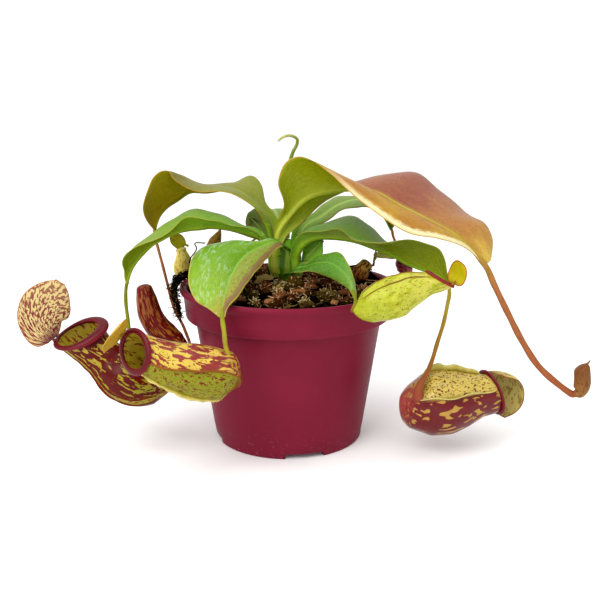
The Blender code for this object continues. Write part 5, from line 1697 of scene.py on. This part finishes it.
LEAVES = {leaf.name: leaf for leaf in (
    LeafBlade(
        "tall_right", COPPERY, "leaf_coppery", 215, 107, base=8.0, tip=2.6, ripple=0.5,
        mid=((-5.5, -2.5, 114), (1, -1.5, 125), (10, -3, 134), (25, -6, 139), (45, -10, 139),
            (59, -15, 132), (74, -20, 125), (87, -24, 118), (95, -27, 111), (102, -29.5, 103.2)),
        left=((-1, -3.5, 114), (4, -1, 118), (9, 2, 122), (16, 5, 128), (28, 12, 135), (45, 20, 141),
            (55, 22, 145), (71, 20, 146), (85, 14, 137), (96, 5, 127), (106, -15, 120), (108, -18, 114.5),
            (107.3, -22, 108.3), (104.6, -27.5, 104.2)),
        right=((-7, -1, 119), (-2, -6, 131), (-5, -11, 145), (-1, -12, 154), (5, -15, 157), (13, -20, 156),
            (22, -25, 149.5), (27.1, -28.5, 144.5), (37, -33, 137.1), (50.3, -38, 126.8), (62.7, -39, 121),
            (75.6, -37, 117.9), (88.1, -33, 114.1), (96, -29.2, 108.5))),
    LeafBlade(
        "high_left", BRONZE, "leaf_bronze", 150, 105, base=8.0,
        mid=((-11, 8, 121), (-19, 10, 130), (-31, 10, 138), (-45.6, 8, 137), (-53.7, 6, 137.2),
            (-61.2, 4, 132.6), (-66.5, 2, 129.1), (-70, 0, 125.2), (-71.9, -1, 121), (-72.9, -2, 116.7)),
        left=((-12, 2, 118), (-19, -4, 130), (-27, -6, 136), (-39, -7, 138.5), (-48.3, -6, 138.5),
            (-53.1, -7, 139.7), (-57, -8, 142.3), (-60.5, -9, 145.7), (-62.9, -10, 149.8),
            (-66, -12, 149.6), (-70.1, -13, 146.3), (-73.2, -14, 140.8), (-75.6, -13, 134.6),
            (-76.5, -12, 130.3), (-76.3, -10, 125.7), (-74.9, -7, 121.2)),
        right=((-7, 10, 122), (-13, 14, 131), (-15, 19, 139), (-21, 24, 144), (-33, 26, 139.5),
            (-49, 25, 138.5), (-56.3, 23, 141.4), (-62.4, 21, 145.2), (-67.6, 19, 146.6),
            (-71.7, 16, 143.6), (-75, 13, 137.5), (-76.3, 9, 131), (-76.1, 5, 125.1), (-74.4, 1, 120))),
    LeafBlade(
        "low_left", FRESH, "leaf_green", 185, 102, base=8.0,
        mid=((-11.5, -3, 108.5), (-15.9, -6, 113.7), (-20.3, -8, 115.5), (-25.3, -11, 117.8),
            (-30.3, -14, 119.7), (-35.2, -17, 120.9), (-41.4, -21, 121.8), (-43.8, -24, 121.8),
            (-50.5, -26.5, 121.5), (-54.9, -28, 120.8), (-60.2, -29.5, 119.1), (-64.3, -30, 116.9),
            (-68.4, -31, 114.8), (-74, -31.5, 109.8), (-77.8, -32, 105.5), (-80.5, -32, 101.3),
            (-82.1, -32, 96.9), (-83, -32, 93.6)),
        left=((-11, -6, 110), (-15.7, -9, 116.1), (-20, -12, 119.2), (-24.2, -16, 120.9),
            (-29, -20, 122.3), (-34.4, -25, 124.5), (-40.3, -30, 126.7), (-45, -32, 128.1),
            (-48.8, -34, 128.6), (-52.2, -35.5, 127.8), (-55.8, -36.5, 124.8), (-59.4, -37, 121.7),
            (-63.5, -37.5, 118.9), (-67.1, -38, 117.1), (-71.5, -38.5, 115.9), (-76, -39, 114.4),
            (-80.2, -39, 111.5), (-82.7, -38, 108.3), (-83.9, -36, 104.7), (-83.6, -34, 100.8),
            (-83.8, -33, 97.1)), right=((-12, 3, 112), (-17.7, 1, 117.6), (-24.7, 3, 118.8),
            (-30.2, 4, 121), (-36.3, 4, 124.1), (-42.9, 3, 126.6), (-49, 1, 128.2), (-53.5, -2, 127.7),
            (-57.9, -5, 126.2), (-62.3, -8.5, 123.6), (-66.6, -12, 120.7), (-70.4, -15.5, 118.2),
            (-74.9, -20, 115.3), (-78.1, -23.5, 112.9), (-81.1, -26.5, 110.1), (-83.1, -28.5, 107),
            (-83.3, -30, 104), (-83.2, -31, 100.4))),
    LeafBlade(
        "front_left", BRIGHT, "leaf_green", 275, 107, base=4.0, tip=2.6, bulge=3.0,
        mid=((-5, -11, 112), (-14, -20, 111), (-24, -34, 106), (-29, -50, 97), (-31, -60, 89),
            (-31, -63, 84)), left=((-3, -14, 110), (-10, -26, 106), (-16, -38, 101), (-20, -46, 97),
            (-24, -54, 92), (-29, -60, 87)),
        right=((-8, -9, 113), (-19, -15, 112), (-32, -21, 114), (-41, -27, 113), (-47, -34, 110),
            (-49, -44, 103), (-48, -52, 97), (-44, -58, 91), (-38, -61, 88))),
    LeafBlade(
        "front_small", LUSH, "leaf_green", 285, 94, tip=2.0, keel=0.9, sheath=9.0,
        mid=((5, -13, 98), (10, -18, 100), (16, -28, 104), (23, -41, 106), (28, -51, 104), (31, -59, 100),
            (33, -63, 94)), left=((7, -12, 101), (11, -18, 102), (16, -24, 107), (20, -29, 109),
            (26, -36, 111), (30, -46, 108), (33, -56, 101)),
        right=((4, -16, 96), (12, -27, 99), (20, -39, 99), (27, -52, 98), (31, -60, 96))),
    LeafBlade(
        "low_right", DEEP, "leaf_green", 310, 102, base=8.0, tip=2.4,
        mid=((5.5, -8.5, 106), (7.5, -10.5, 109.8), (13.6, -12.5, 114), (24.7, -16, 115.3),
            (35.7, -19, 114), (46.6, -22, 110.5), (54, -23.5, 107.8), (62.2, -25, 103.5),
            (70, -25.5, 100.3), (78.4, -25, 97.2), (84.3, -22, 92.7)),
        left=((5, -2, 112), (10, 4, 116), (17, 9, 118), (27, 14, 121), (38, 16, 122), (46, 12, 117),
            (55, 6, 108.5), (63, 2, 106), (71, -2, 105), (78, -8, 102), (84, -15, 97)),
        right=((2.2, -11, 108), (3.4, -14, 113), (7.6, -17, 117.5), (17.1, -22, 119.6), (27.9, -26, 120.6),
            (33.5, -29, 116.7), (44.3, -32, 114.7), (50.8, -35, 115.9), (60.1, -38, 117.6),
            (67.7, -39, 116.8), (75.8, -37, 113.6), (80.6, -33, 106.9), (83.5, -27, 97.6))),
    LeafBlade(
        "back_right", GREYED, "leaf_green", 50, 104, base=8.0, tip=2.0, bulge=1.5,
        mid=((9, 12, 117), (18, 19, 121), (29, 28, 127), (42, 35, 129), (55, 39, 121), (61, 38, 111)),
        left=((4, 14, 118), (14, 24, 123), (27, 39, 130), (42, 50, 128), (56, 48, 118)),
        right=((12, 9, 115), (23, 15, 120), (29, 21, 124), (42, 25, 126), (55, 29, 122), (62, 33, 115))),
    LeafBlade(
        "back", GREYED, "leaf_green", 95, 99, tip=2.0,
        mid=((-6, 18, 115), (-8, 34, 122), (-12, 50, 121), (-17, 64, 112), (-21, 72, 101)),
        left=((-11, 18, 116), (-18, 36, 123), (-25, 52, 119), (-27, 64, 109)),
        right=((-1, 20, 116), (4, 36, 121), (4, 52, 117), (-6, 66, 107))),
    LeafBlade(
        "old_left", SPENT, "leaf_old", 132, 97, base=4.0, tip=1.6, bulge=1.0, keel=0.8, sheath=8.0,
        mid=((-12, 12, 108), (-17, 16, 116), (-22, 19, 121)), left=((-15, 9, 108), (-21, 13, 115)),
        right=((-10, 15, 111), (-16, 19, 119))),
    LeafBlade(
        "inner", SHEATHING, "leaf_green", 345, 96, base=6.0, tip=1.5, bulge=1.0, keel=0.8, sheath=8.0,
        mid=((10, -4, 101), (14, -5, 106), (19, -6, 112)), left=((8, -1, 104.5), (11.5, 0, 111)),
        right=((12, -7, 99), (18.5, -10, 105))),
)}

GREEN_STALK = StalkSkin(
    "green_tendril", ((0.0, "#7c8c14"), (0.5, "#9a9428"), (0.8, "#8a6a1c"), (1.0, "#6c4414")), rough=0.36,
    streak="#6c5a14", streaks=0.35)
YELLOW_STALK = StalkSkin(
    "yellow_tendril",
    ((0.0, "#8c9c20"), (0.3, "#b4ac34"), (0.65, "#b89c34"), (0.9, "#8c4420"), (1.0, "#7c3818")),
    rough=0.34, streak="#8c7c20", streaks=0.35)
RUSTY_STALK = StalkSkin(
    "rusty_tendril", ((0.0, "#b89a3c"), (0.25, "#b87444"), (0.8, "#b0643c"), (1.0, "#a45a34")), rough=0.34,
    streak="#8a4428", streaks=0.4)
FADING_STALK = StalkSkin(
    "fading_tendril",
    ((0.0, "#b4b448"), (0.3, "#b89c34"), (0.65, "#b0702c"), (0.9, "#a8503c"), (1.0, "#b85c50")),
    rough=0.34, streak="#8a5420", streaks=0.35)
TENDRILS = (
    Tendril(
        LEAVES["tall_right"], RUSTY_STALK, "tendril_red",
        ((107, -32, 93), (114, -35, 79), (122, -38, 64), (131, -40, 51), (140, -42, 43),
            (146.5, -43, 38.3)), 1.6, 1.7),
    Tendril(
        LEAVES["high_left"], RUSTY_STALK, "tendril_red",
        ((-71, -3, 107), (-69, -4, 99), (-66, -5, 86), (-63, -6, 74), (-57.5, -8, 63)), 0.8, 0.9),
    Tendril(
        LEAVES["low_left"], GREEN_STALK, "tendril_green",
        ((-83.8, -32.5, 85), (-83, -34, 77), (-82, -35, 68), (-76, -36, 54), (-66, -35, 44)), 0.9, 1.2),
    Tendril(
        LEAVES["front_left"], YELLOW_STALK, "tendril_green", ((-30, -66, 78), (-29.2, -66.5, 70)), 1.1,
        1.2, sink=((-27.0, -68.5, 64), (-24.6, -69, 58), (-23, -67.5, 52.5), (-24, -65, 50))),
    Tendril(LEAVES["front_small"], GREEN_STALK, "tendril_green", ((33, -64, 91),), 0.8, 0.9),
    Tendril(
        LEAVES["low_right"], FADING_STALK, "tendril_red",
        ((86, -21, 86), (85, -22, 80), (83, -23.5, 70), (80, -26, 61), (76.2, -30.5, 50.5),
            (72.5, -36.5, 45.5), (68.5, -41.8, 40.5)), 1.05, 1.2, flare=2.0,
        sink=((68.5, -40.5, 36.5), (69.5, -36, 31))),
    Tendril(
        LEAVES["back_right"], RUSTY_STALK, "tendril_red", ((62, 38, 107), (65, 37, 100), (68, 35, 92)),
        0.8, 0.8),
    Tendril(
        LEAVES["back"], GREEN_STALK, "tendril_green",
        ((-27, 75, 96), (-40, 68, 91), (-53, 54, 86), (-60, 36, 84)), 0.8, 0.8),
)

RED_LIP = StalkSkin(
    "dark_red_lip", ((0.0, "#6c0c18"), (0.6, "#861424"), (1.0, "#640a14")), rough=0.22, coat=0.2)
THIN_LIP = StalkSkin("thin_red_lip", ((0.0, "#a83828"), (1.0, "#8a1c1c")), rough=0.25, coat=0.1)
RED_FRILL = StalkSkin("red_frill", ((0.0, "#8a6a14"), (0.4, "#8a3014"), (1.0, "#640c0c")), rough=0.4)
PALE_FRILL = StalkSkin("pale_frill", ((0.0, "#a8942c"), (0.5, "#cbb850"), (1.0, "#ecdc84")), rough=0.45)
RUSTY_FRILL = StalkSkin("rusty_frill", ((0.0, "#a8842c"), (0.5, "#b06a24"), (1.0, "#a05424")), rough=0.42)
OLIVE_FRILL = StalkSkin("olive_frill", ((0.0, "#a0a030"), (0.5, "#b49c34"), (1.0, "#8a5420")), rough=0.42)

BLOTCHED_LEFT = CupSkin(
    "yellow_green_pitcher", ((0.0, "#8c8414"), (0.4, "#a89c20"), (1.0, "#c0a438")), "#640d07", 0.66,
    size=(1.9, 1.9, 7.5), strip="#aa972c", strip_blotch="#7a2c14", strip_cover=0.3, blush="#94501c",
    blush_reach=0.12)
INSIDE_LEFT = CupSkin(
    "olive_pitcher_inside", ((0.0, "#5c5008"), (0.6, "#947808"), (1.0, "#b49c24")), "#7c3410", 0.32,
    size=(1.6, 1.6, 3.0), coat=0.05)
INSIDE_PLAIN = CupSkin(
    "green_pitcher_inside", ((0.0, "#4c4804"), (0.6, "#746804"), (1.0, "#8c8010")), "#6a4008", 0.2,
    size=(1.6, 1.6, 3.0), coat=0.05)
BLOTCHED_FRONT = CupSkin(
    "pink_blotched_pitcher", ((0.0, "#b08428"), (0.3, "#ecc858"), (1.0, "#e4c850")), "#9c3c38", 0.5,
    size=(2.0, 2.0, 7.5), strip="#96961c", strip_blotch="#7a2414", strip_cover=0.24,
    strip_size=(1.0, 1.0, 2.2), speck="#7a2c18", specks=0.1, blush="#8c4420", blush_reach=0.12)
SPECKLED = CupSkin(
    "speckled_green_pitcher", ((0.0, "#b4c02c"), (0.5, "#ccd044"), (1.0, "#dcd45c")), "#b8bc28", 0.35,
    size=(3.0, 3.0, 6.0), specks=0.05, speck="#8a5420")
DARK_RED = CupSkin(
    "dark_red_pitcher", ((0.0, "#c89838"), (0.3, "#c89c40"), (1.0, "#c09838")), "#740e14", 0.78,
    size=(2.3, 2.3, 6.0), ragged=0.8, strip="#e4ca60", strip_blotch="#7a1814", strip_cover=0.3,
    strip_size=(0.9, 0.9, 1.5), blush="#bc5850", blush_reach=0.17, rough=0.24, coat=0.4)
PURPLE_RED = CupSkin(
    "purple_red_pitcher", ((0.0, "#b87428"), (0.4, "#b06c24"), (1.0, "#a85c34")), "#741010", 0.6,
    size=(1.1, 1.1, 8.0), rough=0.24, coat=0.15)
TAN_BUD = CupSkin(
    "tan_bud", ((0.0, "#a8743a"), (0.6, "#8c5a2a"), (1.0, "#7f4b21")), "#7c4a20", 0.3,
    size=(1.2, 1.2, 3.0))
PINKISH = CupSkin(
    "pinkish_pitcher", ((0.0, "#9a5040"), (1.0, "#a04844")), "#6c1c28", 0.6, size=(1.4, 1.4, 3.0))
WITHERED = CupSkin(
    "withered_pitcher", ((0.0, "#6a3c14"), (0.5, "#9a6020"), (1.0, "#b8983c")), "#4c240c", 0.45,
    size=(1.0, 1.0, 4.0), rough=0.6, coat=0.0)
YELLOWING = CupSkin(
    "yellowing_pitcher", ((0.0, "#8a7c20"), (0.5, "#a4902c"), (1.0, "#b8842c")), "#6c5a18", 0.35,
    size=(1.2, 1.2, 3.0), rough=0.45)
CLEAR_YELLOW = CupSkin(
    "clear_yellow_pitcher", ((0.0, "#c4b440"), (0.5, "#f0dc68"), (1.0, "#f0e070")), "#c8843c", 0.22,
    size=(0.9, 0.9, 3.5))

CUPS = {cup.name: cup for cup in (
    PitcherCup(
        "low_left", (BLOTCHED_LEFT, RED_LIP, INSIDE_LEFT, RED_FRILL), "pitcher_blotched",
        axis=((-60, -33, 39), (-70, -33, 40), (-79, -33, 40.8), (-86.5, -32.5, 44), (-97.5, -31, 54),
            (-109.4, -30, 65.6)), radii=(2.5, 11.0, 13.8, 13.2, 10.6, 10.0, 11.4),
        mouth=(-0.27, -0.31, 0.90), hinge=(-1.0, 0.0, -0.3), stretch=1.14, lip=1.7, lip_swell=0.45,
        wings=(Wing((-0.3, -0.75, -0.6), (-0.55, -0.45, -0.7), (0.14, 0.99), 0.9, 0.2),
            Wing((-0.3, -0.9, -0.3), (-0.4, -0.75, -0.5), (0.14, 0.99), 0.9, 0.2))),
    PitcherCup(
        "front_left", (BLOTCHED_FRONT, RED_LIP, INSIDE_LEFT, RUSTY_FRILL, PALE_FRILL), "pitcher_blotched",
        axis=((-22, -64, 51), (-29, -65, 54.5), (-42, -67, 58), (-58, -69, 62.8), (-72, -71, 69.3)),
        radii=(3.5, 12.2, 13.2, 13.0, 11.2, 9.8, 9.0), mouth=(-0.62, -0.74, 0.25),
        hinge=(-0.41, 0.73, 0.55), stretch=1.15, lip=1.5,
        wings=(Wing((0, -0.85, 0.6), (0, -1, -0.04), (0.1, 0.98), 1.1, 0.2, 24),
            Wing((0, -0.5, -0.85), (0, -0.5, -0.7), (0.1, 0.98), 1.7, 0.3, 40, CupPart.LOWER_WING))),
    PitcherCup(
        "front_small", (SPECKLED, THIN_LIP, INSIDE_PLAIN, OLIVE_FRILL), "pitcher_green",
        axis=((31.8, -64, 87.6), (37, -63, 88.4), (43.5, -62.5, 90.8), (51.5, -62, 93.8),
            (61.5, -60, 98.3), (74, -58, 101.6)), radii=(2.5, 8.0, 10.0, 10.2, 8.4, 6.2, 6.3),
        mouth=(0.50, 0.05, 0.86), hinge=(0.85, 0.0, -0.5), stretch=1.12, lip=0.9, hollow=0.7,
        wings=(Wing((0, -0.6, 0.8), (0, -0.5, 0.85), (0.15, 0.95), 0.5, 0.2),
            Wing((0, -0.15, 1.0), (0, 0.1, 1.0), (0.15, 0.95), 0.7, 0.2))),
    PitcherCup(
        "low_right", (DARK_RED, RED_LIP, INSIDE_LEFT, PALE_FRILL), "pitcher_red",
        axis=((60.5, -28, 30.4), (70, -28, 27.5), (83, -28, 27.5), (96, -27, 29.8), (109.4, -26, 32)),
        radii=(6.5, 14.6, 17.7, 17.9, 15.6, 12.0, 10.2), mouth=(0.88, 0.36, 0.28), hinge=(-0.3, 0.0, 1.0),
        stretch=1.1, lip=1.6, wings=(
            Wing((0, -0.9, 0.45), (0, -0.9, 0.4), (0.1, 0.99), 2.2, 0.35, waves=0.55),
            Wing((0, 0.0, 1.0), (0, 0.1, 1.0), (0.12, 0.95), 3.9, 0.22, waves=0.4))),
    PitcherCup(
        "high_left", (PURPLE_RED,), "pitcher_red",
        axis=((-54.5, -12, 52.5), (-61.5, -12, 56.5), (-70, -12, 63.5), (-75, -12, 71.5), (-76.8, -12, 80),
            (-78, -12, 89)), radii=(1.0, 5.8, 7.0, 6.9, 6.3, 5.7, 3.6)),
    PitcherCup(
        "tall_right", (TAN_BUD,), "bud_brown",
        axis=((148.2, -43, 37.3), (151.3, -43, 38.4), (152.7, -43, 42.5), (152.3, -43, 48.5),
            (151.6, -43, 53.2)), radii=(1.8, 3.2, 4.1, 4.3, 4.2, 4.2, 4.0), slant=(-0.5, 0.0, 0.85),
        spur=2.4, dents=0.1),
    PitcherCup(
        "back_right", (PINKISH,), "pitcher_pink",
        axis=((68, 34, 83), (69, 34, 87), (68, 33, 91), (64, 33, 94)), radii=(1.0, 4.6, 5.0, 4.6, 3.8),
        hinge=(1.0, 0.0, 0.3)),
    PitcherCup(
        "back", (CLEAR_YELLOW,), "pitcher_green",
        axis=((-61.5, 20, 87), (-60.5, 16, 92), (-60, 14, 98.5), (-61.2, 14, 105)),
        radii=(1.6, 4.2, 5.2, 5.4, 4.7, 3.8, 3.0, 3.9)),
    PitcherCup(
        "withered_right", (WITHERED,), "pitcher_withered",
        axis=((37, -6, 89), (38, -5, 92), (41, -5, 97), (44, -5, 101)), radii=(2.0, 4.4, 4.8, 4.0, 3.4),
        on_soil=True, dents=0.6),
    PitcherCup(
        "withered_left", (YELLOWING,), "pitcher_withered",
        axis=((-44, 19, 91), (-46, 20, 97), (-44.5, 20, 105), (-39, 20, 119)),
        radii=(2.0, 4.4, 4.6, 3.4, 0.6), on_soil=True, dents=0.5),
)}

LIDS = (
    PitcherLid(
        CUPS["low_left"],
        LidSkin("cream_lid", "#ecd490", "#862030", "#c07a40", 0.5, scale=0.72, hinge="#6c2034"),
        "lid_cream", ((-127.5, -30, 69), (-126.5, -31, 81), (-117.5, -31, 94.5)), 26.5, (1.0, 0.1, -0.3),
        -2.0, lobe=2.2, full=0.52, lean=3.2),
    PitcherLid(
        CUPS["front_left"], LidSkin("golden_lid", "#dcb038", "#a87420", "#d8a440", 0.15, hinge="#a06a20"),
        "lid_golden", ((-82, -73.5, 77), (-84, -80, 76)), 21.0, (0.6, 0.0, 0.8), 1.0, full=0.75),
    PitcherLid(
        CUPS["front_small"], LidSkin("lime_lid", "#ccbc10", "#b0881c", "#c0641c", 0.15, hinge="#9a6a1c"),
        "lid_golden", ((82.7, -57, 103), (82.5, -57, 110.8)), 10.5, (0.75, -0.65, 0.0), 1.0, neck=0.6,
        lobe=2.5, full=0.5),
    PitcherLid(
        CUPS["low_right"],
        LidSkin("yellow_green_lid", "#e0cc74", "#a08038", "#9a5424", 0.3, hinge="#8a3a20"), "lid_golden",
        ((119, -21, 37.5), (121.3, -21, 28), (118, -22, 16.5)), 20.0, (0.675, -0.74, 0.0), -3.0,
        full=0.55),
    PitcherLid(
        CUPS["back_right"], LidSkin("pale_lid", "#b4b454", "#9a9a3c", "#a05a44", 0.3), "pitcher_pink",
        ((50, 33, 97),), 9.0, (0.0, 1.0, 0.5), 1.0, neck=0.6),
    PitcherLid(
        CUPS["back"], LidSkin("olive_lid", "#b0aa1c", "#9c9810", "#8c8c14", 0.2, hinge="#9c9810"),
        "pitcher_green", ((-66.8, 13, 110.5),), 9.0, (0.2, 0.6, 0.8), 1.0, neck=0.6),
    PitcherLid(
        CUPS["withered_right"], LidSkin("withered_lid", "#8c8424", "#5c4414", "#a8a030", 0.4, rough=0.7),
        "pitcher_withered", ((49, -5, 110),), 6.0, (0.3, 1.0, 0.0), 0.5, neck=0.6),
)

CHIPS = (
    BarkChip(1, 9.0, 5.0, 2.4, 20.0, 0.5),
    BarkChip(2, 10.0, 5.5, 2.6, 115.0, 0.35),
    BarkChip(3, 8.0, 4.5, 2.2, 60.0, 0.6),
    BarkChip(4, 9.0, 5.0, 2.4, 150.0, 0.4),
    BarkChip(5, 7.5, 4.5, 2.0, 85.0, 0.7),
    BarkChip(6, 9.5, 5.5, 2.8, 35.0, 0.25),
)


# ---------------------------------------------------------------- studio

@dataclass(frozen=True)
class Studio:
    """Pale floor, soft light from the upper left and the camera."""
    camera_place: tuple = (6.55, -450.0, 187.0)     # millimetres from the pot's axis
    camera_tilt: float = 76.3                       # degrees from looking straight down
    lens: float = 49.74
    floor_reach: float = 3.0                        # metres, as the places and sizes that follow
    key_place: tuple = (-0.75, -0.95, 1.25)
    key_size: float = 1.1
    key_power: float = 18.0                         # watts
    top_place: tuple = (0.1, -0.1, 1.5)
    top_size: float = 0.8
    top_power: float = 4.0
    lit_height: float = 0.08                        # where the lights aim
    sky: float = 1.03                               # strength of the light from all round

    def build(self, origin: Vector) -> None:
        """Set the floor, the lights, the world and the camera."""
        scene = bpy.context.scene
        mesh = bpy.data.meshes.new("floor")
        size = self.floor_reach
        mesh.from_pydata([(-size, -size, 0), (size, -size, 0), (size, size, 0), (-size, size, 0)], [],
                         [(0, 1, 2, 3)])
        floor = bpy.data.objects.new("floor", mesh)
        scene.collection.objects.link(floor)
        paper = bpy.data.materials.new("matte_white_paper")
        paper.use_nodes = True
        shader = paper.node_tree.nodes["Principled BSDF"]
        shader.inputs["Base Color"].default_value = linear("#fdfdfd", 1.0)
        shader.inputs["Roughness"].default_value = 0.9
        mesh.materials.append(paper)
        self.add_softbox("key_light", self.key_place, self.key_size, self.key_power, origin)
        self.add_softbox("top_light", self.top_place, self.top_size, self.top_power, origin)
        world = bpy.data.worlds.new("studio")
        world.use_nodes = True
        light = world.node_tree.nodes["Background"]
        light.inputs["Color"].default_value = linear("#ffffff", 1.0)
        light.inputs["Strength"].default_value = self.sky
        scene.world = world
        scene.view_settings.view_transform = "Standard"
        data = bpy.data.cameras.new("camera")
        data.lens = self.lens
        data.sensor_width = 36.0
        camera = bpy.data.objects.new("camera", data)
        camera.location = origin + Vector(self.camera_place) * MM
        camera.rotation_euler = (math.radians(self.camera_tilt), 0.0, 0.0)
        scene.collection.objects.link(camera)
        scene.camera = camera

    def add_softbox(self, name: str, place: Sequence[float], size: float, power: float,
                    origin: Vector) -> None:
        """Add a square soft light that faces the plant."""
        data = bpy.data.lights.new(name, "AREA")
        data.size = size
        data.energy = power
        light = bpy.data.objects.new(name, data)
        light.location = origin + Vector(place)
        target = origin + Vector((0, 0, self.lit_height))
        light.rotation_euler = (target - light.location).to_track_quat("-Z", "Y").to_euler()
        bpy.context.scene.collection.objects.link(light)


def main() -> None:
    """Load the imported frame, build the fine meshes round it and set the studio."""
    logging.basicConfig(level=logging.INFO, format="%(name)s: %(message)s")
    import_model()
    low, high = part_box("pot")
    origin = Vector(((low.x + high.x) / 2, (low.y + high.y) / 2, 0.0))
    pot = NurseryPot()
    pot.build(origin)
    Soil(pot).build(origin)
    Crown().build(origin)
    for leaf in LEAVES.values():
        leaf.build(origin)
    for cup in CUPS.values():
        cup.build(origin)
    for tendril in TENDRILS:
        axis = CUPS[tendril.leaf.name].axis
        tendril.build(origin, tendril.sink or (axis[0], np.mean(axis[:2], axis=0)))
    for lid in LIDS:
        lid.build(origin)
    for chip in CHIPS:
        chip.build(PINE_BARK)
    DeadLeaf().build(DEAD_TISSUE)
    MossClump().build(origin)
    Studio().build(origin)


if __name__ == "__main__":
    main()
